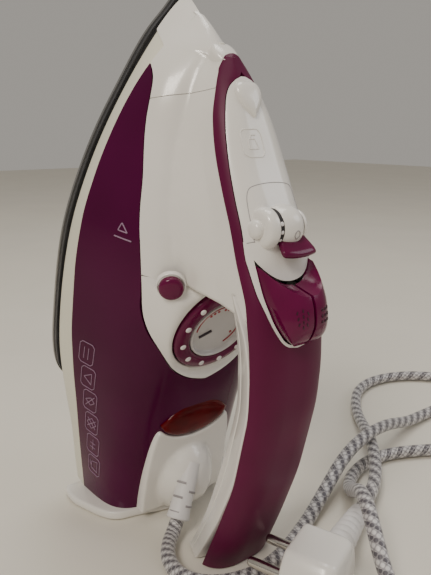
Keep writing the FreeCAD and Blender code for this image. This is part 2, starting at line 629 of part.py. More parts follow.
def pump_group():
    for name, sign in (("spray", 1), ("burst", -1)):
        at = pump_at[name]
        button(f"{name}_button", sign)
        low, high, bore = size["pump_low"], size["pump_high"], size["piston_radius"] + 0.08
        outside = size["pump_radius"]
        turned(f"{name}_pump", [
            (1.6, low - 4), (2.2, low - 4), (2.2, low), (outside, low), (outside, high), (bore, high),
            (bore, low + 2), (1.6, low + 2),
        ], seat(at))  # fmt: skip
        turned(f"{name}_piston", [
            (0, low + 6), (size["piston_radius"], low + 6), (size["piston_radius"], low + 10), (1.5, low + 10),
            (1.5, high + 7.2), (3.2, high + 7.2), (3.2, high + 9.2), (0, high + 9.2),
        ], seat(at))  # fmt: skip
        turned(f"{name}_spring", [
            (1.75, high + 0.3), (3.1, high + 0.3), (3.1, high + 6.9), (1.75, high + 6.9),
        ], seat(at))  # fmt: skip
    rod("button_axle", "Sizes.axle_radius", "2 * (Sizes.button_half - 7)",
        seat(axle_at - Y * (size["button_half"] - 7), Y))
    low = size["pump_low"] - 4.2
    burst = pump_at["burst"]
    deep = size["skin"] + size["casting"] - 2.0
    shaped("burst_tube", Part.makeCylinder(1.9, low - deep, burst + Z * deep).cut(
        Part.makeCylinder(1.1, low - deep, burst + Z * deep)))
    spray = pump_at["spray"]
    shaped("suction_tube", Part.makeCylinder(1.9, low - 24, spray + Z * 24).cut(
        Part.makeCylinder(1.1, low - 24, spray + Z * 24)))
    hose = [(181.6, 7.8, 74), (190, 8, 73), (205, 8, 66), (222, 7, 57), (236, 3, 49), (246, 0, 43.5)]
    shaped("spray_hose", tube(hose, 1.7, 0.9))


# ---------------------------------------------------------------- dial and thermostat
def dial_group():
    radius, thick = size["dial_radius"], size["dial_thick"]
    place = seat(dial_seat, dial_axis)
    ring_in = radius - 6.5
    turned("dial_ring", [
        (ring_in, 0.4), (radius, 0.4), (radius, thick - 1.4), (radius - 1.2, thick), (ring_in, thick),
    ], place)  # fmt: skip
    turned("dial_cap", [
        (0, 2.2), (ring_in, 2.2), (ring_in, thick + 0.2), (ring_in - 1.5, thick + 1.0), (0, thick + 1.4),
    ], place)  # fmt: skip
    low = 17.0
    reach = Part.makeCylinder(size["shaft_radius"] - 0.6, 8, dial_seat - dial_axis * 5.8, dial_axis)
    shaped("dial_shaft", reach)
    turned("thermostat", [(0, 8.5), (9, 8.5), (9, 14), (4, 14), (4, low - 0.5), (0, low - 0.5)],
           seat((size["dial_pos"], 0, 0)))
    rod_top = dial_seat - dial_axis * 6.4
    shaped("thermostat_spindle", Part.makeCylinder(1.6, rod_top.z - low - 1, Vector(size["dial_pos"], 0, low)))
    turned("thermal_fuse", [(0, 0), (2.6, 0), (2.6, 14), (0, 14)], seat((104, 8, 11.6), X))


# ---------------------------------------------------------------- self-clean button
def clean_group():
    radius = size["clean_radius"]
    place = seat(clean_seat, clean_axis)
    turned("self_clean_button", [
        (0, 0.6), (radius, 0.6), (radius, 2.6), (radius - 0.9, 3.8), (0, 4.4),
    ], place)  # fmt: skip
    turned("self_clean_stem", [(0, -20), (1.7, -20), (1.7, 0.6), (0, 0.6)], place)


# ---------------------------------------------------------------- spray nozzle and filler
def spout_group():
    hood = hood_block(0.0)
    channel = Part.makeCylinder(2.0, 30, NOZZLE_AT - NOZZLE_AXIS * 8, NOZZLE_AXIS)
    hood = hood.cut(channel)
    shaped("spray_hood", biggest(hood))
    nozzle = Part.makeCylinder(1.95, 9.5, NOZZLE_AT - NOZZLE_AXIS * 4, NOZZLE_AXIS)
    shaped("spray_nozzle", nozzle.cut(Part.makeCylinder(0.5, 30, NOZZLE_AT - NOZZLE_AXIS * 10, NOZZLE_AXIS)))
    knuckle = Part.makeCylinder(KNUCKLE, 4, LID_HINGE_AT - Y * 2, Y)
    shaped("filler_lid", lid_block(0.0, -1.0).fuse(knuckle))
    shaped("filler_neck", tube(FILLER, 4.1, 3.3))


# ---------------------------------------------------------------- heel, cord cover, lamp and wiring
def heel_group():
    half = [(-21.5, 49), (-17, 51), (-8, 51), (2, 47.5), (11, 44.5), (20.5, 38.5), (23, 26), (27.5, 14), (29.5, 0)]
    outline = [(x, y) for x, y in half] + [(x, -y) for x, y in half[-2::-1]]
    plate = prism([(*p, 0) for p in outline], (0, 0, size["heel_thick"]))
    bottom = [e for e in plate.Edges if e.BoundBox.ZMax < 0.01]
    plate = plate.makeFillet(1.0, bottom)
    plate.Placement = LYING
    obj = doc.addObject("Part::Feature", "heel_plate")
    obj.Shape = plate
    node("heel_plate", obj, LYING)


DOME = Matrix(1.3, 0, 0, 38, 0, 1, 0, 1.5, 0, 0, 0.92, 59, 0, 0, 0, 1)
GUARD_END, GUARD_START = Vector(50, -17, 9.6), Vector(41.8, -2, 34.2)


def cord_cover_group():
    lid = plan(COVER_PLAN, 53.6, 60.4)
    room = plan(stretched([(64, 0), (64, 14), (60, 21), (-10, 22)]), 40, 58)
    dome = Part.makeSphere(17)
    dome = dome.transformGeometry(DOME)
    inner = Part.makeSphere(14.8)
    inner = inner.transformGeometry(DOME)
    dome = dome.common(Part.makeBox(120, 80, 60, Vector(-20, -40, 56)))
    start, end = standing([GUARD_START, GUARD_END])
    way = (Vector(*end) - Vector(*start)).normalize()
    socket = Part.makeCylinder(size["guard_radius"] + 0.05, 60, Vector(*start), way)
    cover = lid.fuse(dome).cut(room).cut(inner).cut(socket).cut(plan(LENS_PLAN, 0, 120))
    shaped("cord_cover", biggest(above_foot(cover, foot_cut)))
    lens = plan(LENS_PLAN, 54.8, 61.6)
    lens = lens.makeFillet(1.2, [e for e in lens.Edges if e.BoundBox.ZMin > 61.5])
    shaped("lamp_lens", lens)
    rod("neon_lamp", "2.4", "16", seat((79, -8, 49), Y))
    guard = Part.makeCone(5.2, size["guard_radius"], (Vector(*end) - Vector(*start)).Length, Vector(*start), way)
    bore = Part.makeCylinder(CORD / 2 + 0.3, 80, Vector(*start) - way * 2, way)
    shaped("cord_guard", guard.cut(bore))
    block("terminal_block", 22, 24, 12, seat((52, -12, 22)))
    block("cable_clamp", 6, 22, 4, seat((40, -11, 44)))
    shaped("lead_wires", Part.makeCompound([tube(wire, 1.2) for wire in WIRES]))
    shaped("base_screws", Part.makeCompound([
        Part.makeCylinder(1.6, 9, Vector(x, y, 9)).fuse(Part.makeCylinder(3, 2, Vector(x, y, 16)))
        for x, y in ((28, 30), (28, -30), (66, 32), (66, -32))]))


# ---------------------------------------------------------------- cord and plug
CORD_LEAD = [
    (50, -17, 9.6), (52.4, -21.2, 5.2), (57, -27, 4), (66, -33.5, 4), (78, -36, 4), (90, -31, 4), (98, -19, 4),
    (101, -4, 4), (99, 12, 4), (93, 28, 4), (86, 45, 4.5), (78, 65, 9), (71, 86, 17.5), (65, 107, 20.2),
    (61, 128, 20.2), (56, 152, 15.5), (51, 178, 6.5), (48, 203, 4), (49, 228, 4), (60, 249, 4), (81, 256, 4),
    (101, 246, 4), (109, 225, 4), (104, 202, 4), (93, 180, 4), (79, 158, 4), (68, 136, 4), (66, 114, 4),
    (72, 94, 4), (84, 79, 8), (96, 69, 17), (107, 60, 27), (118, 52, 29), (130, 44, 22), (144, 36, 10),
    (160, 31, 4), (178, 35, 4), (192, 48, 4), (198, 67, 4), (200, 90, 4), (201, 115, 4), (200.5, 138, 4),
]  # fmt: skip
CORD_TAIL = [
    (200.5, 182, 12), (199.5, 203, 9.5), (194, 225, 5.5), (182, 246, 4), (163, 264, 4), (140, 277, 4),
    (114, 287, 4), (86, 292, 4), (58, 291, 4), (31, 284, 4), (7, 269, 4), (-10, 247, 4), (-16, 221, 4),
    (-10, 196, 4), (6, 175, 4), (24, 158, 5), (42, 143, 9), (57, 130, 12.1), (71, 117, 12.1), (84, 103, 10),
    (95, 86, 8.5), (102.5, 66, 8.5),
]  # fmt: skip
COIL_AT, COIL_MEAN = Vector(159, 160, 0), 42.0


def cord_group():
    wire, radii = path(CORD_LEAD)
    print("cord_lead", round(wire.Length), "mm, radii", [round(r) for r in radii])
    shaped("cord_lead", tube(standing(CORD_LEAD), CORD / 2))
    wire, radii = path(CORD_TAIL)
    print("cord_tail", round(wire.Length), "mm, radii", [round(r) for r in radii])
    shaped("cord_tail", tube(standing(CORD_TAIL), CORD / 2))
    outer, inner, tall = COIL_MEAN + CORD * 0.54, COIL_MEAN - CORD * 0.54, 2.1 * CORD
    coil = Part.makeCylinder(outer, tall, COIL_AT + Z * 0.2).cut(Part.makeCylinder(inner, tall + 2, COIL_AT))
    coil.Placement = LYING.multiply(coil.Placement)
    coil = coil.cut(tube(standing(CORD_LEAD), CORD / 2)).cut(tube(standing(CORD_TAIL), CORD / 2))
    shaped("cord_coil", biggest(coil))


PLUG_AT = Vector(127, 9, 15)
PIN_WAY = Vector(-0.93, -0.37, 0).normalize()
PLUG_SIDE = Vector(-0.37, 0.93, 0).normalize()


def plug_group():
    turn = Rotation(PIN_WAY, PLUG_SIDE, PIN_WAY.cross(PLUG_SIDE), "ZXY")
    body_block = Part.makeCylinder(18.5, 24, Vector(-12, 0, 0), X)
    trim = Part.makeBox(60, 60, 30, Vector(-30, -30, -15))
    body_block = body_block.common(trim)
    pins, holes = [], []
    for sign in (1, -1):
        at = Vector(0, sign * size["pin_pitch"] / 2, 0)
        pins.append(Part.makeCylinder(size["pin_radius"], size["pin_length"] + 10, at + X * 2, X))
    where = Placement(PLUG_AT, turn)
    relief_start = PLUG_AT + PLUG_SIDE * 16.5 + Vector(0, 0, -3)
    relief_end = Vector(*CORD_TAIL[-1])
    way = (relief_end - relief_start).normalize()
    relief = Part.makeCone(8.2, 5.4, (relief_end - relief_start).Length, relief_start, way)
    for pin in pins:
        pin.Placement = where.multiply(pin.Placement)
    body_block.Placement = where.multiply(body_block.Placement)
    body_block = body_block.cut(relief)
    for pin in pins:
        body_block = body_block.cut(pin)
    for label, shape in (("plug_body", body_block), ("plug_relief", relief), ("plug_pins", Part.makeCompound(pins))):
        shape = shape.copy()
        shape.Placement = LYING.multiply(shape.Placement)
        shaped(label, shape)


sole_group()
nose_tip = skirt_group()
tank_group()
shell_group(nose_tip)
handle_group()
selector_group()
pump_group()
dial_group()
clean_group()
spout_group()
heel_group()
cord_cover_group()
cord_group()
plug_group()

doc.recompute()
failed = [o.Name for o in doc.Objects if {"Invalid", "Error"} & set(o.State)]
failed += [o.Label for o in NODES if o.Shape.isNull() or not o.Shape.isValid()]
if failed:
    raise RuntimeError(f"failed: {failed}")
os.makedirs("parts", exist_ok=True)
for obj in NODES:
    obj.Shape.exportStep(f"parts/{obj.Label}.step")
    box = obj.Shape.BoundBox
    print(f"{obj.Label:22s} solids {len(obj.Shape.Solids)} volume {obj.Shape.Volume:9.0f} "
          f"X {box.XMin:6.1f} {box.XMax:6.1f} Y {box.YMin:6.1f} {box.YMax:6.1f} Z {box.ZMin:6.1f} {box.ZMax:6.1f}")
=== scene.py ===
# %% [markdown]
# # A steam iron, standing on its heel
#
# The CAD frame gives every sub-part, its place and its joints. This lesson dresses that frame: it draws the
# soft shells again as fine meshes, gives each material its look, lays the cord and lights the table.
# Lengths in the tables are millimetres on the iron as it lies on its sole: x runs forward to the tip,
# y to the iron's left and z up from the sole. One function stands those points on the heel, in metres.

# %% Tools and frame
import math

import bmesh
import bpy
import numpy as np
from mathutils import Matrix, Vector


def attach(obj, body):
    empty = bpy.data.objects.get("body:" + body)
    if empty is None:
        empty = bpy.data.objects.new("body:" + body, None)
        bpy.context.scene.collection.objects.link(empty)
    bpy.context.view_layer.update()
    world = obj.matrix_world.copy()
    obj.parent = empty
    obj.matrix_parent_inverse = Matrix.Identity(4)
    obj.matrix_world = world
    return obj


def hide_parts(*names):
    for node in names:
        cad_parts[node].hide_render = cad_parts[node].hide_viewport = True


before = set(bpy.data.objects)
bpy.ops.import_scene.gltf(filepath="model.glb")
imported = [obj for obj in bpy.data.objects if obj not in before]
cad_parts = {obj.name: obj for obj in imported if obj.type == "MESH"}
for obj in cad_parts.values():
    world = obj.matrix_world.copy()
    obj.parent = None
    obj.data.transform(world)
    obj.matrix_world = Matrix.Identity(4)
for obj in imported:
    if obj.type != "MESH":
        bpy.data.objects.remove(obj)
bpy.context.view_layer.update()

# %% [markdown]
# ## Camera
# The iron fills the height of a portrait view. The eye is a little above the handle, in front of the
# iron's left side, so both the handle's back and the tank's flank show.

# %% Camera
lens = bpy.data.cameras.new("camera")
lens.lens, lens.sensor_width = 37.57, 36.0
camera = bpy.data.objects.new("camera", lens)
bpy.context.scene.collection.objects.link(camera)
bpy.context.scene.camera = camera
camera.location = (0.2843, -0.1653, 0.209)
camera.rotation_mode = "QUATERNION"
camera.rotation_quaternion = Vector((-0.7776, 0.5753, -0.2538)).to_track_quat("-Z", "Y")
print("camera at", camera.location)

# %% [markdown]
# ## Materials
# Each finish is one Principled shader with the values of the real material. A small function adds a node,
# another turns a display colour into the linear value the shader wants.

# %% Material helpers
MM = 0.001


def linear(code):
    """A display colour such as 'cc8844' as a linear colour with alpha."""
    parts = [int(code[i : i + 2], 16) / 255 for i in (0, 2, 4)]
    return (*[c / 12.92 if c <= 0.04045 else ((c + 0.055) / 1.055) ** 2.4 for c in parts], 1.0)


def add(tree, kind, settings=(), values=(), links=()):
    """Adds a node, sets its properties and its sockets, and links sockets to other nodes' outputs."""
    made = tree.nodes.new(kind)
    for name, value in dict(settings).items():
        setattr(made, name, value)
    for name, value in dict(values).items():
        made.inputs[name].default_value = value
    for name, socket in dict(links).items():
        tree.links.new(socket, made.inputs[name])
    return made


def material(name, colour, rough, metal=0.0, coat=0.0, grain=None, tint=None, **more):
    """A moulded or metal finish; grain is (size in mm, height) and tint is (second colour, size in mm)."""
    made = bpy.data.materials.new(name)
    made.use_nodes = True
    tree = made.node_tree
    shader = tree.nodes["Principled BSDF"]
    shader.inputs["Base Color"].default_value = linear(colour)
    shader.inputs["Roughness"].default_value = rough
    shader.inputs["Metallic"].default_value = metal
    shader.inputs["Coat Weight"].default_value = coat
    shader.inputs["Coat Roughness"].default_value = 0.06
    for socket, value in more.items():
        shader.inputs[socket.replace("_", " ")].default_value = value
    made.diffuse_color = linear(colour)
    place = add(tree, "ShaderNodeTexCoord")
    if tint:
        noise = add(
            tree,
            "ShaderNodeTexNoise",
            values={"Scale": 1 / (tint[1] * MM), "Detail": 2.0},
            links={"Vector": place.outputs["Object"]},
        )
        ramp = add(tree, "ShaderNodeValToRGB", links={"Fac": noise.outputs["Fac"]})
        ramp.color_ramp.elements[0].position, ramp.color_ramp.elements[1].position = 0.35, 0.65
        ramp.color_ramp.elements[0].color, ramp.color_ramp.elements[1].color = linear(colour), linear(tint[0])
        tree.links.new(ramp.outputs["Color"], shader.inputs["Base Color"])
    if grain:
        fine = add(
            tree,
            "ShaderNodeTexNoise",
            values={"Scale": 1 / (grain[0] * MM), "Detail": 3.0},
            links={"Vector": place.outputs["Object"]},
        )
        bump = add(
            tree,
            "ShaderNodeBump",
            values={"Strength": grain[1], "Distance": 0.0002},
            links={"Height": fine.outputs["Fac"]},
        )
        tree.links.new(bump.outputs["Normal"], shader.inputs["Normal"])
    return made


# %% Plastics, metals and rubber
white = material(
    "white_moulded_abs", "e9e6e1", 0.22, coat=0.35, grain=(6.0, 0.03), tint=("e6e3dd", 40), IOR=1.54,
)  # fmt: skip
cream = material("cream_pbt_skirt", "dedbcb", 0.42, grain=(0.8, 0.10), tint=("dad7c6", 30), IOR=1.55)
tank_purple = material(
    "tinted_san_tank", "43012e", 0.16, tint=("4c0136", 60), IOR=1.45, Specular_IOR_Level=0.22,
)  # fmt: skip
soft_purple = material(
    "soft_touch_purple", "5c0539", 0.42, grain=(0.5, 0.10), tint=("540433", 35), IOR=1.4,
    Specular_IOR_Level=0.35,
)  # fmt: skip
gloss_purple = material(
    "polished_purple", "62003c", 0.16, tint=("5a0036", 20), IOR=1.5, Specular_IOR_Level=0.32,
)  # fmt: skip
lens_red = material(
    "red_acrylic_lens", "4a0006", 0.12, tint=("620108", 15), IOR=1.45, Specular_IOR_Level=0.25,
)  # fmt: skip
pale_grey = material("printed_dial_face", "c9c6c6", 0.30, coat=0.2, tint=("c4c1c1", 18), IOR=1.5)
silver = material("metallised_rim", "b9b6b8", 0.25, metal=0.8, tint=("b2afb1", 12))
steel = material("brushed_stainless", "a9a8a6", 0.30, metal=1.0, grain=(0.4, 0.2), tint=("a2a19f", 22))
cast = material("die_cast_aluminium", "77777a", 0.45, metal=1.0, grain=(0.7, 0.3), tint=("6f6f72", 9))
dark_steel = material("oxidised_heater_steel", "57534f", 0.5, metal=1.0, grain=(0.7, 0.2), tint=("4d4a46", 9))
seal_black = material("black_silicone_seal", "141314", 0.6, grain=(0.6, 0.2), tint=("181718", 10))
inner = material("inner_nylon", "dcd9cf", 0.5, grain=(0.9, 0.1), tint=("d7d4ca", 15), IOR=1.53)
hose = material("clear_silicone_hose", "cfccc6", 0.35, tint=("c8c5bf", 8), Transmission_Weight=0.5, IOR=1.41)
glass = material("neon_glass", "e2c9b4", 0.06, tint=("dcc0a8", 6), Transmission_Weight=0.8, IOR=1.5)
spring = material("spring_steel", "8f8d8a", 0.28, metal=1.0, grain=(0.3, 0.1), tint=("868481", 5))
nickel = material("nickel_plated_brass", "c9c5be", 0.18, metal=1.0, grain=(0.5, 0.05), tint=("c3bfb7", 6))
rubber = material("white_soft_pvc", "dedcdb", 0.48, grain=(0.6, 0.15), tint=("d9d7d6", 12), IOR=1.5)
dark_slot = material("shadowed_recess", "2b2729", 0.7, tint=("231f21", 5))
print_lilac = material("lilac_tampon_print", "9a7b96", 0.45, tint=("92748e", 5))
# This grey is real print for the drops on the selector, and painted shade in the cover's seams and the
# guard's slots.
grey_print_and_gap_shade = material("grey_print_and_painted_gap_shade", "9c989a", 0.45, tint=("949092", 5))
# Painted shade: the pads' recessed marks are drawn in a darker plum for the shade inside them.
plum_recess_shade = material("painted_recess_shade_plum", "2c0019", 0.4, tint=("330020", 5))
print_dark = material("dark_tampon_print", "3a3038", 0.5, tint=("423740", 5))
print_white = material("white_tampon_print", "e6e2e2", 0.4, tint=("e0dcdc", 5))
print_red = material("red_tampon_print", "a3202e", 0.4, tint=("98202c", 5))
print("finishes", len(bpy.data.materials))

# %% [markdown]
# The cord's jacket is a textile braid: silver-white yarn with a dark tracer. The tube's own coordinates
# run along it, so two crossing wave patterns make the plait, and a third picks out the tracer's dashes.

# %% Braid
braid = bpy.data.materials.new("textile_braid")
braid.use_nodes = True
tree = braid.node_tree
shader = tree.nodes["Principled BSDF"]
shader.inputs["Roughness"].default_value = 0.42
shader.inputs["Metallic"].default_value = 0.15
shader.inputs["Sheen Weight"].default_value = 0.2
place = add(tree, "ShaderNodeTexCoord")
CORD_METRES = 1.62
weave = []
for turn in (1, -1):
    scaled = add(
        tree,
        "ShaderNodeMapping",
        values={"Scale": (CORD_METRES / 0.004, 6.0, 1.0)},
        links={"Vector": place.outputs["UV"]},
    )
    split = add(tree, "ShaderNodeSeparateXYZ", links={"Vector": scaled.outputs["Vector"]})
    mixed = add(tree, "ShaderNodeMath", {"operation": "ADD" if turn > 0 else "SUBTRACT"})
    tree.links.new(split.outputs["X"], mixed.inputs[0])
    tree.links.new(split.outputs["Y"], mixed.inputs[1])
    wave = add(tree, "ShaderNodeMath", {"operation": "PINGPONG"}, {1: 0.5}, {0: mixed.outputs[0]})
    weave.append(wave)
plait = add(tree, "ShaderNodeMath", {"operation": "MULTIPLY"})
tree.links.new(weave[0].outputs[0], plait.inputs[0])
tree.links.new(weave[1].outputs[0], plait.inputs[1])
bump = add(
    tree, "ShaderNodeBump", values={"Strength": 0.6, "Distance": 0.0004}, links={"Height": plait.outputs[0]},
)  # fmt: skip
tree.links.new(bump.outputs["Normal"], shader.inputs["Normal"])

# %% Yarn with painted groove shade, and tracer
# Painted shade: the yarn is silver-white, and its colour is darkened to grey in the plait's grooves, where
# shade falls.
yarn_groove_shade = add(tree, "ShaderNodeValToRGB", links={"Fac": plait.outputs[0]})
yarn_groove_shade.color_ramp.elements[0].color, yarn_groove_shade.color_ramp.elements[0].position = linear("8a878a"), 0.0
yarn_groove_shade.color_ramp.elements[1].color, yarn_groove_shade.color_ramp.elements[1].position = linear("d2cfce"), 0.07
tracer_wave = add(tree, "ShaderNodeMath", {"operation": "COMPARE"}, {1: 0.5, 2: 0.22})
tracer_lane = add(tree, "ShaderNodeMath", {"operation": "FRACT"}, {}, {})
lane_sum = add(tree, "ShaderNodeMath", {"operation": "MULTIPLY_ADD"}, {1: 0.5})
tree.links.new(split.outputs["X"], lane_sum.inputs[0])
lane_scale = add(tree, "ShaderNodeMath", {"operation": "MULTIPLY"}, {1: 0.3333}, {0: split.outputs["Y"]})
tree.links.new(lane_scale.outputs[0], lane_sum.inputs[2])
tree.links.new(lane_sum.outputs[0], tracer_lane.inputs[0])
tree.links.new(tracer_lane.outputs[0], tracer_wave.inputs[0])
dashes = add(tree, "ShaderNodeMath", {"operation": "MULTIPLY"}, {}, {0: tracer_wave.outputs[0]})
lifted = add(tree, "ShaderNodeMath", {"operation": "GREATER_THAN"}, {1: 0.03}, {0: plait.outputs[0]})
tree.links.new(lifted.outputs[0], dashes.inputs[1])
colour_mix = add(tree, "ShaderNodeMix", {"data_type": "RGBA"})
tree.links.new(dashes.outputs[0], colour_mix.inputs[0])
tree.links.new(yarn_groove_shade.outputs["Color"], colour_mix.inputs[6])
colour_mix.inputs[7].default_value = linear("5c585e")
tree.links.new(colour_mix.outputs[2], shader.inputs["Base Color"])
print("braid ready")

# %% [markdown]
# ## Cord
# A free cord is one long curve. It leaves the guard, makes its loops on the table, turns once round the
# coil that stands for its unseen length, and comes back to the plug. The points are the ones the CAD tube
# follows, in millimetres, standing frame.

# %% Cord
LEAD = [
    (50, -17, 9.6), (52.4, -21.2, 5.2), (57, -27, 4), (66, -33.5, 4), (78, -36, 4), (90, -31, 4),
    (98, -19, 4), (101, -4, 4), (99, 12, 4), (93, 28, 4), (86, 45, 4.5), (78, 65, 9), (71, 86, 17.5),
    (65, 107, 20.2), (61, 128, 20.2), (56, 152, 15.5), (51, 178, 6.5), (48, 203, 4), (49, 228, 4),
    (60, 249, 4), (81, 256, 4), (101, 246, 4), (109, 225, 4), (104, 202, 4), (93, 180, 4), (79, 158, 4),
    (68, 136, 4), (66, 114, 4), (72, 94, 4), (84, 79, 8), (96, 69, 17), (107, 60, 27), (118, 52, 29),
    (130, 44, 22), (144, 36, 10), (160, 31, 4), (178, 35, 4), (192, 48, 4), (198, 67, 4), (200, 90, 4),
    (201, 115, 4),
]  # fmt: skip
TAIL = [
    (199.5, 203, 9.5), (194, 225, 5.5), (182, 246, 4), (163, 264, 4), (140, 277, 4), (114, 287, 4),
    (86, 292, 4), (58, 291, 4), (31, 284, 4), (7, 269, 4), (-10, 247, 4), (-16, 221, 4), (-10, 196, 4),
    (6, 175, 4), (24, 158, 5), (42, 143, 9), (57, 130, 12.1), (71, 117, 12.1), (84, 103, 10),
    (95, 86, 8.5), (102.5, 66, 8.5),
]  # fmt: skip
CORD_RADIUS = 3.75
COIL_AT, COIL_MEAN, COIL_SWEEP, LAYER = (159, 160), 42.0, math.radians(415.8), 8.0
coil, steps = [], 16
for step in range(steps + 1):
    share = step / steps
    angle = math.radians(-27.9) + COIL_SWEEP * share
    climb = min(max((share - 0.15) / 0.70, 0.0), 1.0)
    height = 4.0 + LAYER * climb * climb * (3 - 2 * climb)
    reach = COIL_MEAN + (5.0 if step in (0, steps) else 0.0)
    coil.append((COIL_AT[0] + reach * math.cos(angle), COIL_AT[1] + reach * math.sin(angle), height))
line = bpy.data.curves.new("power_cord", "CURVE")
line.dimensions, line.bevel_depth, line.bevel_resolution, line.resolution_u = "3D", CORD_RADIUS * MM, 5, 12
line.use_fill_caps = True
run = line.splines.new("NURBS")
points = LEAD + coil + TAIL
run.points.add(len(points) - 1)
for spline_point, point in zip(run.points, points):
    spline_point.co = (point[0] * MM, point[1] * MM, point[2] * MM, 1.0)
run.order_u, run.use_endpoint_u = 3, True
power_cord = bpy.data.objects.new("power_cord", line)
bpy.context.scene.collection.objects.link(power_cord)
line.materials.append(braid)
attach(power_cord, "housing")
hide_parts("cord_lead", "cord_coil", "cord_tail")
print("cord has", len(points), "points")

# %% [markdown]
# ## Shape helpers
# The shells are drawn as grids of points. A monotone curve runs through the stations along the iron, and
# the corners of each cross-section are cut off again and again until they are round. Thickness and a
# rounded rim come from modifiers, as they come from the mould on the real shells.

# %% Shape helpers
LEAN = math.radians(14.2)
SIN, COS = math.sin(LEAN), math.cos(LEAN)
HEEL_MID = 35.0


def stand(points):
    """Points of the lying iron, in mm, as points of the standing iron, in metres."""
    p = np.asarray(points, float)
    x, y, z = p[..., 0], p[..., 1], p[..., 2]
    return np.stack([x * SIN + z * COS - HEEL_MID, -y, x * COS - z * SIN], -1) * MM


def turn(direction):
    """A direction on the lying iron, as one in the standing frame."""
    x, y, z = direction
    return Vector((x * SIN + z * COS, -y, x * COS - z * SIN)).normalized()


# %% Lines and corners


def through(xs, ys, at):
    """Value at a place on a smooth curve through (xs, ys) that never overshoots its points."""
    xs, ys, at = np.asarray(xs, float), np.asarray(ys, float), np.asarray(at, float)
    if xs[0] > xs[-1]:
        xs, ys = xs[::-1], ys[::-1]
    gap = np.diff(xs)
    slope = np.diff(ys) / gap
    bend = np.zeros_like(ys)
    bend[0], bend[-1] = slope[0], slope[-1]
    for i in range(1, len(xs) - 1):
        if slope[i - 1] * slope[i] > 0:
            w1, w2 = 2 * gap[i] + gap[i - 1], gap[i] + 2 * gap[i - 1]
            bend[i] = (w1 + w2) / (w1 / slope[i - 1] + w2 / slope[i])
    k = np.clip(np.searchsorted(xs, at, side="right") - 1, 0, len(gap) - 1)
    t = np.clip((at - xs[k]) / gap[k], -0.5, 1.5)
    h = gap[k]
    return (
        (2 * t**3 - 3 * t**2 + 1) * ys[k]
        + (t**3 - 2 * t**2 + t) * h * bend[k]
        + (3 * t**2 - 2 * t**3) * ys[k + 1]
        + (t**3 - t**2) * h * bend[k + 1]
    )


def rounded(points, times=3):
    """Cuts the corners off an open line, keeping its ends."""
    p = np.asarray(points, float)
    for _ in range(times):
        cut = [p[0]]
        for a, b in zip(p[:-1], p[1:]):
            cut += [0.75 * a + 0.25 * b, 0.25 * a + 0.75 * b]
        p = np.array([*cut, p[-1]])
    return p


def corners(table, x):
    """The cross-section of a station table at x, from its lower corner to the middle plane."""
    xs = [row[0] for row in table]
    line = [
        (through(xs, [row[k][0] for row in table], x), through(xs, [row[k][1] for row in table], x))
        for k in range(1, len(table[0]))
    ]
    return np.array([*line, (0.0, line[-1][1])], float)


def stretch_of(line, y_from, y_to, count):
    """Points at even distances along the part of a cross-section between two half widths."""
    steps = np.r_[0, np.cumsum(np.linalg.norm(np.diff(line, axis=0), axis=1))]
    widths = line[:, 0][::-1]
    where = [np.interp(np.clip(y, widths[0], widths[-1]), widths, steps[::-1]) for y in (y_from, y_to)]
    s = np.linspace(where[0], where[1], count)
    return np.stack([np.interp(s, steps, line[:, 0]), np.interp(s, steps, line[:, 1])], 1)


# %% Grids into meshes


def mesh_of(name, grids, wrap=False, cuts=(), sharp=50):
    """One smooth mesh from grids of points; each cut is a point and the direction to throw away."""
    bm = bmesh.new()
    for grid in grids:
        placed = stand(grid)
        verts = [[bm.verts.new(p) for p in row] for row in placed.tolist()]
        across = len(verts[0]) - (0 if wrap else 1)
        for above, below in zip(verts, verts[1:]):
            for j in range(across):
                k = (j + 1) % len(above)
                bm.faces.new((above[j], above[k], below[k], below[j]))
    bmesh.ops.remove_doubles(bm, verts=bm.verts, dist=0.02 * MM)
    bmesh.ops.dissolve_degenerate(bm, edges=bm.edges, dist=0.005 * MM)
    for at, away in cuts:
        geometry = bm.verts[:] + bm.edges[:] + bm.faces[:]
        bmesh.ops.bisect_plane(bm, geom=geometry, plane_co=at, plane_no=away, clear_outer=True)
    bmesh.ops.recalc_face_normals(bm, faces=bm.faces)
    for face in bm.faces:
        face.smooth = True
    for edge in bm.edges:
        if len(edge.link_faces) == 2 and edge.calc_face_angle(0.0) > math.radians(sharp):
            edge.smooth = False
    mesh = bpy.data.meshes.new(name)
    bm.to_mesh(mesh)
    bm.free()
    return mesh


# %% Putting a piece in the scene


def show(name, mesh, finish, body, stands_for=()):
    """Puts a mesh in the scene on its CAD body, with its material and the nodes it stands for."""
    made = bpy.data.objects.new(name, mesh)
    bpy.context.scene.collection.objects.link(made)
    mesh.materials.append(finish)
    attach(made, body)
    if stands_for:
        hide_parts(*stands_for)
    print(name, "on", body)
    return made


def outward(mesh, core):
    """Turns the faces of an open shell away from a core point on the lying iron."""
    middle = Vector(stand(core).tolist())
    total = sum(p.normal.dot(p.center - middle) * p.area for p in mesh.polygons)
    if total < 0:
        mesh.flip_normals()


def shelled(made, thick=2.0, rim=0.5):
    """Gives an open shell a wall and rounds its rim."""
    wall = made.modifiers.new("wall", "SOLIDIFY")
    wall.thickness, wall.offset = thick * MM, -1.0
    if rim:
        edge = made.modifiers.new("rim", "BEVEL")
        edge.width, edge.segments, edge.limit_method = rim * MM, 2, "ANGLE"
        edge.angle_limit, edge.harden_normals = math.radians(60), True
    return made


# %% Cutting planes
FOOT = (Vector((0, 0, 5 * MM)), Vector((0, 0, -1)))
FLOOR_CUT = (Vector((0, 0, 0.2 * MM)), Vector((0, 0, -1)))


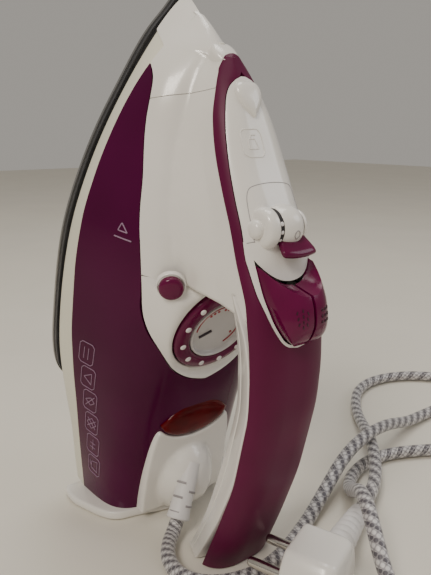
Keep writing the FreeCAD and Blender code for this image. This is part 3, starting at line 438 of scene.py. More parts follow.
def slanted(x_low, z_low, x_high, z_high, keep_rear, gap=0.15):
    """A cut along a slanted seam across the iron; a hair's gap is left on either side."""
    way = np.array([z_high - z_low, 0.0, -(x_high - x_low)])
    way /= np.linalg.norm(way)
    side = 1 if keep_rear else -1
    at = np.array([x_low, 0.0, z_low]) - side * gap * way
    return (Vector(stand(at).tolist()), turn(way * side))


# %% [markdown]
# ## Outlines
# The stations of the body, handle and pillar are written once more as plain tables. They are the same
# sections the CAD lofts go through.

# %% Outlines
BODY = [
    (-4, (39, 18), (38, 50.5), (25, 54), (12, 55)), (22, (42.4, 18), (38, 51), (25.5, 55.5), (12, 56.5)),
    (47, (45.6, 18), (38, 51.5), (26, 57), (12, 58)), (73, (48.6, 18), (38.2, 52.5), (27, 58.5), (12, 60)),
    (100, (51.8, 18), (38.4, 55), (27, 61), (12, 62.5)), (126, (53.6, 18), (37.8, 58.5), (27, 64), (12, 66)),
    (153, (53.4, 18), (37.2, 60), (28, 66), (12, 69)), (178, (51.2, 18), (37, 54.5), (27, 61), (11, 65)),
    (200, (46, 18), (34.4, 46), (25, 54), (10, 58)), (221, (38.5, 18), (30.4, 38), (21, 46), (9, 50)),
    (241, (28.5, 18), (25, 31), (17, 39.5), (7, 44)), (257, (16.6, 18), (15, 24), (10, 32.5), (4, 38)),
    (266, (7, 18), (6.2, 21), (4, 26), (2, 29)), (272, (1, 18), (0.9, 18.4), (0.8, 18.8), (0.6, 19.2)),
]  # fmt: skip
PILLAR = [
    (163, (26, 50), (23, 68), (18.5, 86), (17.6, 106)), (180, (29, 50), (25.5, 65), (20, 82), (17.9, 98)),
    (196, (29, 46), (25, 58), (19.3, 74), (17.6, 88)), (209, (27, 40), (23.5, 51), (18.5, 65), (17.6, 76)),
    (223, (24.5, 34), (20.5, 45), (17, 56), (16.2, 66)), (236, (21.5, 30), (17, 40), (14.5, 50), (13.6, 60)),
    (247, (16, 28), (13, 36), (10.5, 44.5), (9.5, 54)), (256, (8.5, 26), (7.5, 33), (5.5, 39.5), (4.5, 47)),
]  # fmt: skip
HANDLE = [
    (8, (19.5, 96), (20.3, 100.5), (17.5, 107), (11, 112)),
    (26, (19.8, 102), (20.6, 106), (17.5, 113), (10, 117)),
    (46, (20, 108), (20.6, 110.6), (17, 117), (9, 120.5)),
    (66, (20, 113), (20.5, 114.4), (16.6, 120), (9, 123)),
    (93, (20, 117), (20.4, 118), (16.4, 122.4), (9, 125.2)),
    (121, (20, 117), (20.4, 118), (16.6, 122), (9, 124.6)),
    (140, (20, 114), (20.2, 115.2), (17, 119.6), (9, 122)),
    (155, (19.8, 108), (20, 110.6), (17.6, 115.6), (9, 118.4)),
    (170, (19.5, 96), (20, 102), (18.4, 109), (10, 113)), (187, (19, 86), (19.5, 91), (17, 98), (9, 103)),
    (198, (18.7, 79), (19.2, 84), (16.5, 91), (9, 97.2)),
    (209, (18.2, 70.5), (18.7, 75.5), (16.2, 82), (9, 89)),
    (222, (17.2, 61), (17.6, 66), (15.4, 72.5), (8.5, 78)),
    (235, (15, 54), (15.3, 58), (13.3, 63.5), (7.5, 68.5)),
    (245, (11.4, 50), (11.6, 52.5), (10, 56.5), (6, 60.5)),
    (252, (8, 47.5), (8, 49), (6.6, 51.5), (4, 54.5)), (258, (3.5, 45), (3.4, 46), (3, 47), (2, 48.5)),
]  # fmt: skip
FRAME = [
    (8, (16, 84), (19.4, 96)), (26, (16, 92), (19.7, 102)), (46, (16.5, 97.5), (19.9, 108)),
    (66, (16.5, 101), (19.9, 113)), (93, (16.5, 104), (19.9, 117)), (121, (16.5, 105.5), (19.9, 117)),
    (140, (16.5, 102), (19.9, 114)), (155, (16.5, 97), (19.7, 108)), (170, (16.5, 88), (19.4, 96)),
]  # fmt: skip
SHELL = [
    (276, 0), (273, 6), (257, 20), (246, 24), (238, 27), (228, 30), (207, 34), (180, 37.8), (152, 38),
    (139, 35.5), (127, 28.5), (116, 21.5), (109, 12.5), (105.5, 3), (105, 0),
]  # fmt: skip
CAP = [
    (252, 0), (250.5, 4), (247, 7.8), (240, 11), (230, 13.6), (216, 15.4), (200, 16.4), (187.5, 17),
    (180, 17),
]  # fmt: skip

# %% Outlines of the skirt
SKIRT_LOW = [
    (279, 0), (273, 6), (263, 13.5), (241, 26.3), (218, 37.3), (196, 45.3), (173, 51.3), (147, 54.4),
    (121, 55.4), (100, 54.6), (73, 50), (47, 45), (22, 42), (-4, 38),
]  # fmt: skip
SKIRT_TOP = [
    (272, 0), (266, 7), (257, 16.6), (241, 28.5), (221, 38.5), (200, 46), (178, 51.2), (153, 53.4),
    (126, 53.6), (100, 51.8), (73, 48.6), (47, 45.6), (22, 42.4), (-4, 39),
]  # fmt: skip
SKIRT_Z, SKIRT_TALL = 6.0, 12.0


# %% Reading the outlines


def half_of(outline, x):
    """Half width of an outline at x."""
    return float(through([p[0] for p in outline], [p[1] for p in outline], x))


def skirt_half(x, z):
    """Half width of the skirt at a place and height."""
    share = (z - SKIRT_Z) / SKIRT_TALL
    low_line, high_line = np.array(SKIRT_LOW, float), np.array(SKIRT_TOP, float)
    mixed = (1 - share) * low_line + share * high_line
    return max(half_of(mixed, x), 0.0) if x < mixed[0][0] else 0.0


def even(line, count):
    steps = np.r_[0, np.cumsum(np.linalg.norm(np.diff(line, axis=0), axis=1))]
    s = np.linspace(0, steps[-1], count)
    return np.stack([np.interp(s, steps, line[:, 0]), np.interp(s, steps, line[:, 1])], 1)


def softened(line, times):
    """Evens out a line's bends and keeps its ends."""
    line = line.copy()
    for _ in range(times):
        line[1:-1] = (line[:-2] + 2 * line[1:-1] + line[2:]) / 4
    return line


def body_line(x):
    return softened(even(rounded(corners(BODY, x), 3), 60), 60)


def body_height(x, y):
    """Height of the body's skin over a point of its plan."""
    line = body_line(x)
    return float(np.interp(abs(y), line[:, 0][::-1], line[:, 1][::-1]))


def both_sides(grid):
    """A grid on the iron's left and its mirror image."""
    flipped = grid.copy()
    flipped[..., 1] *= -1
    return [grid, flipped]


# %% [markdown]
# ## Water tank
# The tank is blown or injection moulded in tinted see-through plastic and polished. Its skin is the body's
# section from the skirt up to the white shell's edge; behind the dial it runs right across.

# %% Water tank
xs = np.r_[np.linspace(-8, 104, 42), 105 + 34 * np.linspace(0, 1, 26) ** 2, np.linspace(141, 249.4, 42)]
rows = []
for x in xs:
    edge = half_of(SHELL, x) + 0.08 if x > 105 else 0.0
    part = stretch_of(body_line(x), 60, edge, 34)
    rows.append([(x, y, z) for y, z in part])
mesh = mesh_of("tank_skin", both_sides(np.array(rows)), cuts=[FOOT])
outward(mesh, (120, 0, 20))
tank = show("tank_skin", mesh, tank_purple, "housing", ["water_tank"])
shelled(tank, 2.2, 0.2)
print("tank", len(mesh.vertices), "points")

# %% [markdown]
# Thin lilac print runs up the tank's left side: six rounded boxes with plain pictograms, low down near the
# rear, and a water level line with a triangle. Each mark follows the tank's skin.

# %% Skin of the tank


def down_the_side(x):
    """The body's section at x from the roof's middle downward, with the distance run at each point."""
    line = body_line(x)[::-1]
    return line, np.r_[0, np.cumsum(np.linalg.norm(np.diff(line, axis=0), axis=1))]


def skin_spot(x, down):
    """A point just over the tank's left skin: x along the iron, and how far down the side from the roof."""
    line, steps = down_the_side(x)
    y, z = np.interp(down, steps, line[:, 0]), np.interp(down, steps, line[:, 1])
    return x, y + 0.12, z + 0.08


def side_down(x, z):
    """How far down the side the skin reaches height z."""
    line, steps = down_the_side(x)
    return float(np.interp(-z, -line[:, 1], steps))


def wire(name, points, radius, finish, body, stands_for=(), closed=False):
    """A thin bead, printed line, or line of painted shade along points of the lying iron."""
    curve = bpy.data.curves.new(name, "CURVE")
    curve.dimensions, curve.bevel_depth, curve.bevel_resolution, curve.resolution_u = "3D", radius * MM, 3, 4
    curve.use_fill_caps = True
    strand = curve.splines.new("NURBS")
    strand.points.add(len(points) - 1)
    for spline_point, place_at in zip(strand.points, stand(points)):
        spline_point.co = (*place_at, 1.0)
    strand.order_u, strand.use_endpoint_u, strand.use_cyclic_u = 3, not closed, closed
    made = bpy.data.objects.new(name, curve)
    bpy.context.scene.collection.objects.link(made)
    curve.materials.append(finish)
    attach(made, body)
    if stands_for:
        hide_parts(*stands_for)
    print(name, "on", body)
    return made


# %% Boxes and level line
BOX_LONG, BOX_TALL, BOX_CORNER = 13.2, 9.6, 1.5
PICTOGRAMS = [
    [[(-4, -2.6), (4, -2.6), (2, 2.2), (-3, 2.2), (-4, -2.6)], [(-1, 2.2), (0, 3.4), (2.5, 3.4)]],
    [[(-4, 0), (4, 0)], [(-2, -2), (-2, 2)], [(1, -2), (1, 2)]],
    [[(-3, -3), (3, 3)], [(-3, 3), (3, -3)], [(-3.6, 0), (0, 3.4), (3.6, 0), (0, -3.4), (-3.6, 0)]],
    [[(0, -3.2), (2.6, -0.6), (0, 3.2), (-2.6, -0.6), (0, -3.2)], [(-4, 3), (4, -3)]],
    [[(-3.6, -2.4), (3.6, -2.4), (0, 2.8), (-3.6, -2.4)]],
    [[(-3.6, -1.2), (3.6, -1.2)], [(-3.6, 1.6), (3.6, 1.6)]],
]
for k, strokes in enumerate(PICTOGRAMS):
    middle = 36.5 + 14.9 * k
    roof = side_down(middle, 30.5 - 0.6 * k)
    a, b, c = BOX_LONG / 2, BOX_TALL / 2, BOX_CORNER
    box_edge = [
        (-a, c - b), (c - a, -b), (a - c, -b), (a, c - b), (a, b - c), (a - c, b), (c - a, b), (-a, b - c),
    ]  # fmt: skip
    closed_box = np.array([*box_edge, box_edge[0]])
    for n, stroke in enumerate([closed_box, *strokes]):
        dense = even(np.array(stroke, float), 8 * len(stroke))
        wire(f"box_{k}_{n}", [skin_spot(middle + u, roof + v) for u, v in dense], 0.2, print_lilac, "housing")
level_roof = side_down(180, 40.5)
level = [skin_spot(178, level_roof + v) for v in np.linspace(-4.8, 4.8, 12)]
wire("level_line", level, 0.35, print_lilac, "housing")
triangle = even(np.array([(181, -2.6), (181, 2.6), (184.6, 0), (181, -2.6)], float), 24)
wire("level_triangle", [skin_spot(x, level_roof + v) for x, v in triangle], 0.3, print_lilac, "housing")
print("tank print", len(PICTOGRAMS), "boxes")

# %% [markdown]
# ## Skirt
# The cream skirt is a heat-proof moulding between the hot sole and the tank. It is ruled from a low
# outline to a higher, slightly narrower one, and ends at a slanted seam near the tip.

# %% Skirt
rows = []
for share, pull in ((0.0, 0.6), (0.04, 0.15), (0.12, 0.0), (0.5, 0.0), (0.9, 0.0), (0.97, 0.15), (1.0, 0.6)):
    low_line, high_line = rounded(SKIRT_LOW, 3), rounded(SKIRT_TOP, 3)
    mixed = (1 - share) * low_line + share * high_line
    z = SKIRT_Z + 0.1 + share * (SKIRT_TALL - 0.25)
    rows.append([(x - pull, max(y - pull, 0.0), z) for x, y in mixed])
mesh = mesh_of("skirt_ring", both_sides(np.array(rows)), cuts=[FOOT, slanted(265, 0, 257, 18, True)])
outward(mesh, (120, 0, 12))
show("skirt_ring", mesh, cream, "housing", ["skirt"])
print("skirt", len(mesh.vertices), "points")

# %% Skirt's floor behind the sole plate
for name, z in (("skirt_floor", SKIRT_Z + 0.15), ("skirt_floor_inside", SKIRT_Z + 2.2)):
    rows = []
    for x in np.linspace(-9, 81.5, 30):
        half = skirt_half(x, z) - 0.5
        rows.append([(x, half * side, z) for side in np.linspace(-1, 1, 24)])
    mesh = mesh_of(name, [np.array(rows)], cuts=[FOOT])
    show(name, mesh, cream, "housing", ())

# %% [markdown]
# ## Deck round the dial
# The rear of the white shell is a lobe that carries the dial in a tilted seat. Rays from the dial's centre
# run out to the lobe's edge; the surface starts as the seat's raised bezel and blends into the body.

# %% Deck
DIAL_X, DIAL_Z, TILT = 138.0, 63.0, math.radians(12)
FRONT_X = 165.0
outline = [p for p in rounded(SHELL, 2) if p[0] <= FRONT_X + 1e-6]
edge_line = [(FRONT_X, half_of(SHELL, FRONT_X) - 0.1), *[(x + 0.1, max(y - 0.1, 0.0)) for x, y in outline]]


def reach_to(angle):
    """Distance from the dial's centre to the lobe's edge or to the front line."""
    dx, dy = math.cos(angle), abs(math.sin(angle))
    best = (FRONT_X - DIAL_X) / dx if dx > 1e-6 else 1e9
    for (ax, ay), (bx, by) in zip(edge_line, edge_line[1:]):
        ex, ey = bx - ax, by - ay
        det = dx * ey - dy * ex
        if abs(det) < 1e-9:
            continue
        r = ((ax - DIAL_X) * ey - ay * ex) / det
        s = ((ax - DIAL_X) * dy - ay * dx) / det
        if r > 0 and -1e-6 <= s <= 1 + 1e-6:
            best = min(best, r)
    return best


def seat_height(x, lift):
    return DIAL_Z + (x - DIAL_X) * math.tan(TILT) + lift


BEZEL = [(25.5, -2.0), (25.6, 3.0), (25.9, 4.0), (26.5, 4.5), (27.3, 4.5)]
spokes = 144
rows = []
rings = [0.0, 0.04, 0.12, 0.22, 0.34, 0.5, 0.66, 0.8, 0.92, 1.0]
for k in range(spokes):
    angle = 2 * math.pi * k / spokes
    far = max(reach_to(angle), 28.6)
    spoke = []
    for r, lift in BEZEL:
        x = DIAL_X + r * math.cos(angle)
        spoke.append((x, r * math.sin(angle), seat_height(x, lift)))
    for share in rings[1:]:
        r = 27.3 + (far - 27.3) * share
        x, y = DIAL_X + r * math.cos(angle), r * math.sin(angle)
        blend = share * share * (3 - 2 * share)
        spoke.append((x, y, (1 - blend) * seat_height(x, 4.5) + blend * body_height(x, y)))
    rows.append(spoke)
grid = np.array([*rows, rows[0]])
mesh = mesh_of("deck_round_dial", [grid])
outward(mesh, (138, 0, 0))
deck = show("deck_round_dial", mesh, white, "housing", ["deck_shell"])
shelled(deck, 1.8, 0.35)
print("deck", len(mesh.vertices), "points")

# %% [markdown]
# ## Shoulders, pillar and nose
# Ahead of the dial the shell sweeps up into the pillar that carries the handle, and runs forward to the
# tip. One set of sections makes both; a slanted seam parts the deck from the nose moulding.

# %% Shoulders and nose


def shoulder_line(x):
    """Section of the front shell at x, from its outer edge to the handle or the middle."""
    start = []
    if x > 257:
        z_from = min(max((265 - x) * 18 / 8, SKIRT_Z), 18.0)
        z_to = min(18.0, SKIRT_Z + (279 - x) / 7 * SKIRT_TALL)
        start = [(skirt_half(x, z), z) for z in np.linspace(z_from, z_to, 7)]
    if x >= 271.5:
        return np.array([*start, (0.0, start[-1][1])], float)
    body = body_line(x)
    edge = min(half_of(SHELL, x) - 0.1, body[0][0])
    if x >= 257:
        side = stretch_of(body, edge, 0.0, 40)
        return np.array([*start, *side], float)
    wall = corners(PILLAR, min(x, 256))[:-1]
    heights = np.linspace(wall[0][1], wall[-1][1], 24)
    wall_y = np.interp(heights, wall[:, 1], wall[:, 0])
    body_z = np.interp(wall_y, body[:, 0][::-1], body[:, 1][::-1])
    above = [k for k in range(24) if heights[k] > body_z[k]]
    first = above[0] if above else 23
    foot_y = wall_y[first]
    side = stretch_of(body, edge, min(foot_y + 3.5, edge - 0.3), 12)
    rise = [(wall_y[k], heights[k]) for k in range(min(first + 2, 23), 24)]
    return rounded(np.array([*side, (foot_y, body_z[first]), *rise], float), 2)


xs = np.r_[np.linspace(FRONT_X, 250, 60), np.linspace(251, 278.9, 44)]
rows = [[(x, y, z) for y, z in even(shoulder_line(x), 44)] for x in xs]
halves = both_sides(np.array(rows))
SEAM = (232, 18, 248, 56)
mesh = mesh_of("shoulder_shell", halves, cuts=[slanted(*SEAM, True)])
outward(mesh, (180, 0, 20))
shoulder = show("shoulder_shell", mesh, white, "housing", ["deck_shell"])
shelled(shoulder, 1.8, 0.3)
mesh = mesh_of("nose_skin", halves, cuts=[slanted(*SEAM, False)])
outward(mesh, (240, 0, 15))
nose = show("nose_skin", mesh, white, "housing", ["nose_shell"])
shelled(nose, 1.2, 0.25)
print("nose", len(mesh.vertices), "points")

# %% [markdown]
# The pillar's back is a rounded wall under the grip. It is drawn as a row of sections that draw in to the
# middle plane.

# %% Pillar back
wall = corners(PILLAR, 163)[:-1]
tall = np.linspace(56, 106, 18)
wide = np.interp(tall, wall[:, 1], wall[:, 0])
ROUNDING = [(1.0, 2.0), (0.985, 0.9), (0.94, 0.2), (0.85, -0.2), (0.6, -0.5), (0.3, -0.6), (0.0, -0.6)]
rows = []
for share, back in ROUNDING:
    rows.append([(163 + back, y * share, z) for y, z in zip(wide, tall)])
mesh = mesh_of("pillar_back", both_sides(np.array(rows)))
show("pillar_back", mesh, white, "housing", ())

# %% [markdown]
# ## Handle
# The grip is a soft-touch purple shell over a white band. The shell's section is a flat arch; the white top
# cover is let into it ahead of the buttons, and the buttons have their own pocket.

# %% Handle shell
POCKET = [(156.4, 0), (157.6, 5.6), (162.6, 10.6), (170, 14.3), (178, 16.6), (187.5, 17.2)]


def handle_line(x):
    return rounded(corners(HANDLE, x), 3)


def purple_edge(x):
    """Half width where the purple shell stops, under the buttons and beside the white cover."""
    if x < POCKET[0][0]:
        return 0.0
    if x < POCKET[-1][0]:
        return half_of(POCKET, x)
    return half_of(CAP, min(x, 252)) + 0.2 if x < 252 else 0.0


xs = np.r_[np.linspace(-4, 156, 62), 156.42 + 6 * np.linspace(0, 1, 16) ** 2, np.linspace(163, 258, 60)]
rows = []
for x in xs:
    part = stretch_of(handle_line(x), 60, purple_edge(x), 30)
    rows.append([(x, y, z) for y, z in part])
mesh = mesh_of("grip_shell", both_sides(np.array(rows)), cuts=[FLOOR_CUT])
outward(mesh, (120, 0, 90))
grip = show("grip_shell", mesh, soft_purple, "housing", ["handle_shell"])
shelled(grip, 2.0, 0.5)

# %% Handle foot
FOOT_LIFT = 0.9


def floor_cap(name, line_at, finish):
    """Closes a hollow section at the floor: each point of its outline joins its mirror image."""
    xs = np.linspace(-6, 30, 73)
    lines = np.array([[(x, y, z) for y, z in line_at(x)] for x in xs])
    rows = []
    for k in range(lines.shape[1]):
        track = lines[:, k]
        heights = np.array([point[2] for point in stand(track)]) / MM
        share = np.interp(FOOT_LIFT, heights, np.arange(len(xs)))
        low, part = int(share), share - int(share)
        at = track[low] * (1 - part) + track[min(low + 1, len(xs) - 1)] * part
        rows.append([(at[0], at[1], at[2]), (at[0], -at[1], at[2])])
    mesh = mesh_of(name, [np.array(rows)])
    show(name, mesh, finish, "housing", ())


floor_cap("grip_foot", lambda x: stretch_of(handle_line(x), 60, 0.0, 30), soft_purple)
floor_cap("band_foot", lambda x: np.array([corners(FRAME, x)[0], corners(FRAME, x)[1]]), white)

# %% Handle tip
rows = []
for k in (1.0, 0.8, 0.5, 0.0):
    rows.append([(258 + 1.4 * (1 - k**2), y * k, 46 + (z - 46) * k) for y, z in handle_line(258)])
mesh = mesh_of("grip_tip", both_sides(np.array(rows)))
show("grip_tip", mesh, soft_purple, "housing", ())

# %% [markdown]
# The white band under the grip closes the handle from below. A fine groove runs along each of its sides,
# where the two halves of its mould meet.

# %% Handle band
rows = []
for x in np.linspace(-6, 172, 82):
    low, high = corners(FRAME, x)[:2]
    side = high - low
    along_side = [low + side * s for s in (0.0, 0.36, 0.40, 0.44, 0.995)]
    inward = np.array([-0.35, 0.0])
    line = [
        (0.0, low[1]), (low[0] - 5, low[1]), (low[0] - 2.4, low[1]), (low[0] - 0.7, low[1] + 0.25),
        tuple(low + np.array([0.1, 1.2])), tuple(along_side[1]), tuple(along_side[2] + inward),
        tuple(along_side[3]),
        tuple(along_side[4] - np.array([0.1, 0.2])), tuple(along_side[4] + np.array([-0.4, 0.5])),
        tuple(along_side[4] + np.array([-2.0, 1.4])), tuple(along_side[4] + np.array([-5.0, 2.0])),
    ]  # fmt: skip
    rows.append([(x, y, z) for y, z in line])
mesh = mesh_of("grip_band", both_sides(np.array(rows)), cuts=[FLOOR_CUT], sharp=35)
show("grip_band", mesh, white, "housing", ["handle_frame"])

# %% [markdown]
# ## Top cover
# The white cover on the handle's front slope starts as a disc round the selector, between the two buttons,
# and tapers to the tip.

# %% Top cover
SELECTOR_X, DISC = 200.0, 18.4


def cover_edge(x):
    disc = math.sqrt(max(DISC**2 - (SELECTOR_X - x) ** 2, 0.0)) if x < SELECTOR_X else DISC
    return min(half_of(CAP, x), disc + 0.01)


rows = []
for x in np.r_[SELECTOR_X - DISC + 0.02 + 6.2 * np.linspace(0, 1, 16) ** 2, np.linspace(188.2, 251.6, 56)]:
    part = stretch_of(handle_line(x), cover_edge(x), 0.0, 26)
    rows.append([(x, y, z + 0.15) for y, z in part])
mesh = mesh_of("front_cover", both_sides(np.array(rows)))
outward(mesh, (210, 0, 50))
cover = show("front_cover", mesh, white, "housing", ["top_cover"])
shelled(cover, 2.0, 0.5)

def on_cover(x, y, lift=0.2):
    """A point just over the cover's skin."""
    line = handle_line(x)
    return x, y, float(np.interp(abs(y), line[:, 0][::-1], line[:, 1][::-1])) + lift


ARCH = [
    (195.5, 13.6), (203, 13.4), (212.5, 12.4), (215.0, 8.5), (215.6, 0), (215.0, -8.5), (212.5, -12.4),
    (203, -13.4),
]  # fmt: skip
arch = rounded(ARCH, 3)
# The seams are thin grey lines: painted shade in the gaps round the selector's seat and at the collar.
wire("seat_seam", [on_cover(x, y, 0.12) for x, y in arch], 0.17, grey_print_and_gap_shade, "housing")
seam = [(195.5, 13.4), (195.0, 14.8), (194.4, 16.0)]
for side in (1, -1):
    joint = [on_cover(x, side * y, 0.12) for x, y in seam]
    wire(f"collar_seam_{side + 2}", joint, 0.2, grey_print_and_gap_shade, "housing")
icon = [
    [(-5, -4), (-5, 3), (-3.4, 4.6), (3.4, 4.6), (5, 3), (5, -4), (3.4, -5), (-3.4, -5), (-5, -4)],
    [(-2.4, -2.2), (2.4, -2.2), (1.2, 1.2), (-2.0, 1.2), (-2.4, -2.2)],
    [(-1.4, 1.2), (-0.4, 2.6), (1.8, 2.6)],
]
for k, stroke in enumerate(icon):
    raised = [on_cover(229 + v, 4.0 - u, 0.12) for u, v in even(np.array(stroke, float), 30)]
    wire(f"cover_icon_{k}", raised, 0.28, white, "housing")

# %% [markdown]
# ## Buttons
# Two polished pads share the thumb's place: one sprays, one gives a burst of steam. Their crown is high in
# the middle, and their front edge follows the cover's disc.

# %% Buttons
CROWN = [
    (158.0, 119.5), (160, 121.6), (164, 124.0), (169, 124.8), (176, 122.8), (182, 118.6), (187, 113),
    (192, 107),
]  # fmt: skip
FLANK = [
    (158.0, 118.0), (160, 118.6), (164, 118.4), (169, 116.6), (176, 112.4), (182, 107.6), (187, 103),
    (192, 98),
]  # fmt: skip
PLAN = [(157.9, 1.5), (159.2, 4.8), (163.8, 9.2), (170.6, 12.4), (178, 13.9), (192, 14.2)]


def pad(side):
    """One pad as a closed cap: its crown, and walls down into the pocket all round."""
    rows = []
    for u in np.linspace(0, 1, 44):
        row = []
        for v in np.linspace(0, 1, 26):
            y = 0.7 + 13.2 * v
            for _ in range(6):
                front = SELECTOR_X - math.sqrt((DISC + 0.9) ** 2 - y**2)
                x = 158.0 + (front - 158.0) * u
                y = 0.7 + (half_of(PLAN, x) - 0.7) * v
            fall = (y / 14.2) ** 3.2
            top = half_of(CROWN, x) * (1 - fall) + half_of(FLANK, x) * fall
            row.append((x, side * y, top - 0.6))
        rows.append(row)
    top = np.array(rows)
    wall = np.array([0.0, 0.0, 11.0])
    wide = np.concatenate([top[:, :1] - wall, top, top[:, -1:] - wall], axis=1)
    return np.concatenate([wide[:1] - wall, wide, wide[-1:] - wall], axis=0)


for label, side in (("spray", 1), ("burst", -1)):
    mesh = mesh_of(f"{label}_pad", [pad(side)], sharp=70)
    piece = show(f"{label}_pad", mesh, gloss_purple, f"{label}_trigger", [f"{label}_button"])
    edge = piece.modifiers.new("rim", "BEVEL")
    edge.width, edge.segments, edge.limit_method = 1.3 * MM, 4, "ANGLE"
    edge.angle_limit, edge.harden_normals = math.radians(40), True

# %% Marks on the pads, dark as painted shade in their recesses


def on_pad(side, x, y):
    """A point just over a pad's crown."""
    fall = (y / 14.2) ** 3.2
    return x, side * y, half_of(CROWN, x) * (1 - fall) + half_of(FLANK, x) * fall - 0.55


for k, (lean, steps) in enumerate(((-0.35, 3), (0.0, 4), (0.35, 3))):
    for n in range(steps):
        x = 177.0 - 2.1 * n - (0 if k == 1 else 1.0)
        y = 6.0 + 2.0 * (k - 1) * (1 - 0.13 * n)
        stroke = [on_pad(1, x - u, y + lean * u) for u in (0.0, 0.5, 1.1)]
        wire(f"spray_mark_{k}_{n}", stroke, 0.26, plum_recess_shade, "spray_trigger")
for k in range(9):
    x, y = 175.5 - 2.3 * (k // 3), 4.0 + 2.0 * (k % 3)
    ring = [on_pad(-1, x + 0.5 * math.cos(a), y + 0.5 * math.sin(a)) for a in np.linspace(0, 5.5, 8)]
    wire(f"burst_mark_{k}", ring, 0.22, plum_recess_shade, "burst_trigger", closed=True)

# %% [markdown]
# The white cover runs on round the pads as a collar, broad beside the disc and narrow behind the pads.

# %% Collar round the buttons
INNER = [(157.4, 0.0), (158.6, 5.0), (163.4, 9.6), (170.3, 12.9), (178, 14.5), (192, 14.8)]
behind = 156.5 + 1.2 * np.linspace(0, 1, 8) ** 2
round_the_bend = 157.9 + 5 * np.linspace(0, 1, 10) ** 1.5
rows = []
for x in np.r_[behind, round_the_bend, np.linspace(163.5, 194.5, 26)]:
    outer = half_of(POCKET, x) - 0.15 if x < 187.5 else half_of(CAP, x) + 0.1
    inner_edge = half_of(INNER, x) if x > INNER[0][0] else 0.0
    part = stretch_of(handle_line(x), outer, inner_edge, 8)
    rows.append([(x, y, z + (0.2 if x < 187 else 0.02)) for y, z in part])
mesh = mesh_of("button_collar", both_sides(np.array(rows)))
outward(mesh, (172, 0, 90))
collar = show("button_collar", mesh, white, "housing", ["button_frame"])
shelled(collar, 3.5, 0.35)

# %% [markdown]
# ## Turned pieces
# Dial, button, selector and sleeve are round. A profile of (radius, height) is turned about its axis.

# %% Turned pieces


def turned_grid(profile, at, axis, count=96):
    """Profile corners (radius, height) turned about an axis through a point."""
    way = Vector(axis).normalized()
    side = way.orthogonal().normalized()
    up = way.cross(side)
    rows = []
    for radius, height in profile:
        ring = []
        for k in range(count):
            angle = 2 * math.pi * k / count
            p = Vector(at) + way * height + (side * math.cos(angle) + up * math.sin(angle)) * radius
            ring.append(tuple(p))
        rows.append(ring)
    return np.array(rows)


def turned(name, profile, at, axis, finish, body, stands_for=(), count=96, soft=2):
    """A turned piece whose profile corners are rounded."""
    line = rounded(profile, soft) if soft else np.array(profile, float)
    line[:, 0] = np.maximum(line[:, 0], 0.001)
    mesh = mesh_of(name, [turned_grid(line, at, axis, count)], wrap=True)
    return show(name, mesh, finish, body, stands_for)


dial_axis = Vector((-math.sin(TILT), 0, math.cos(TILT)))
dial_seat = Vector((DIAL_X, 0, DIAL_Z))
turned(
    "dial_grip_ring",
    [(16.9, 2.0), (17.1, 5.2), (17.8, 6.0), (21.0, 6.3), (24.0, 5.6), (24.9, 4.4), (25.0, 3.6), (25.0, 0.5)],
    dial_seat, dial_axis, gloss_purple, "dial", ["dial_ring"],
)  # fmt: skip
turned(
    "dial_face",
    [(0, 3.3), (9, 3.35), (14.4, 3.5), (15.2, 3.8), (15.6, 5.6), (16.1, 6.2), (16.7, 6.0), (16.85, 4.6)],
    dial_seat, dial_axis, pale_grey, "dial", ["dial_cap"],
)  # fmt: skip
dial_side = Vector((math.cos(TILT), 0, math.sin(TILT)))
left_way = Vector((0, 1, 0))


def on_dial(radius, degrees, height=3.75):
    """A point over the dial's seat, by its distance and direction from the axis."""
    angle = math.radians(degrees)
    outward_way = dial_side * math.cos(angle) + left_way * math.sin(angle)
    return tuple(dial_seat + dial_axis * height + outward_way * radius)


DOT = [(1.6, -0.3), (1.5, 0.25), (1.0, 0.7), (0, 0.85)]
for k in range(12):
    at = on_dial(21.0, 15 + 30 * k, 6.0)
    turned(f"dial_dot_{k}", DOT, at, dial_axis, print_white, "dial", count=16)

# %% Dial's printed marks
wire("dial_heat_arc", [on_dial(12.6, a) for a in range(-150, 95, 8)], 0.28, print_red, "dial")
HEAT_DOT = [(0.75, 0), (0.7, 0.15), (0, 0.2)]
for k, start in enumerate((-120, -75, -30, 15)):
    for n in range(1 + min(k, 2)):
        at = on_dial(10.6, start + 12 * n, 3.4)
        turned(f"dial_heat_dot_{k}_{n}", HEAT_DOT, at, dial_axis, print_red, "dial", count=12, soft=0)
wire("dial_pointer", [on_dial(r, 112, 3.6) for r in (4.0, 8.0, 11.0)], 0.7, print_dark, "dial")

# %% Self-clean button
clean_axis = Vector((-0.1, 0.5, 0.86)).normalized()
clean_seat = Vector((164, 30, 65.6))
turned(
    "clean_button_dome",
    [(5.6, 0.6), (5.6, 2.2), (5.2, 3.2), (3.6, 4.1), (0, 4.4)],
    clean_seat, clean_axis, gloss_purple, "self_clean", ["self_clean_button"], 64,
)  # fmt: skip
turned(
    "clean_button_collar",
    [(6.9, -1.8), (6.75, -0.5), (6.5, 0.15), (6.1, 0.25), (5.9, 0.0), (5.85, -2.0)],
    clean_seat, clean_axis, white, "housing", (), 64,
)  # fmt: skip

# %% [markdown]
# ## Steam selector
# A round white drum carries a small lever. It sits between two cheeks; the left one ends in a ball.

# %% Selector
knob = Vector((200, 0, 93.5))
turned(
    "selector_ball_drum",
    [(5.2, -7.6), (7.4, -6.8), (8.8, -4.6), (9.2, -1.6), (8.9, 1.6), (8.1, 4.0), (7.6, 4.4), (0, 4.5)],
    knob, left_way, white, "selector", ["selector_drum"], 72,
)  # fmt: skip

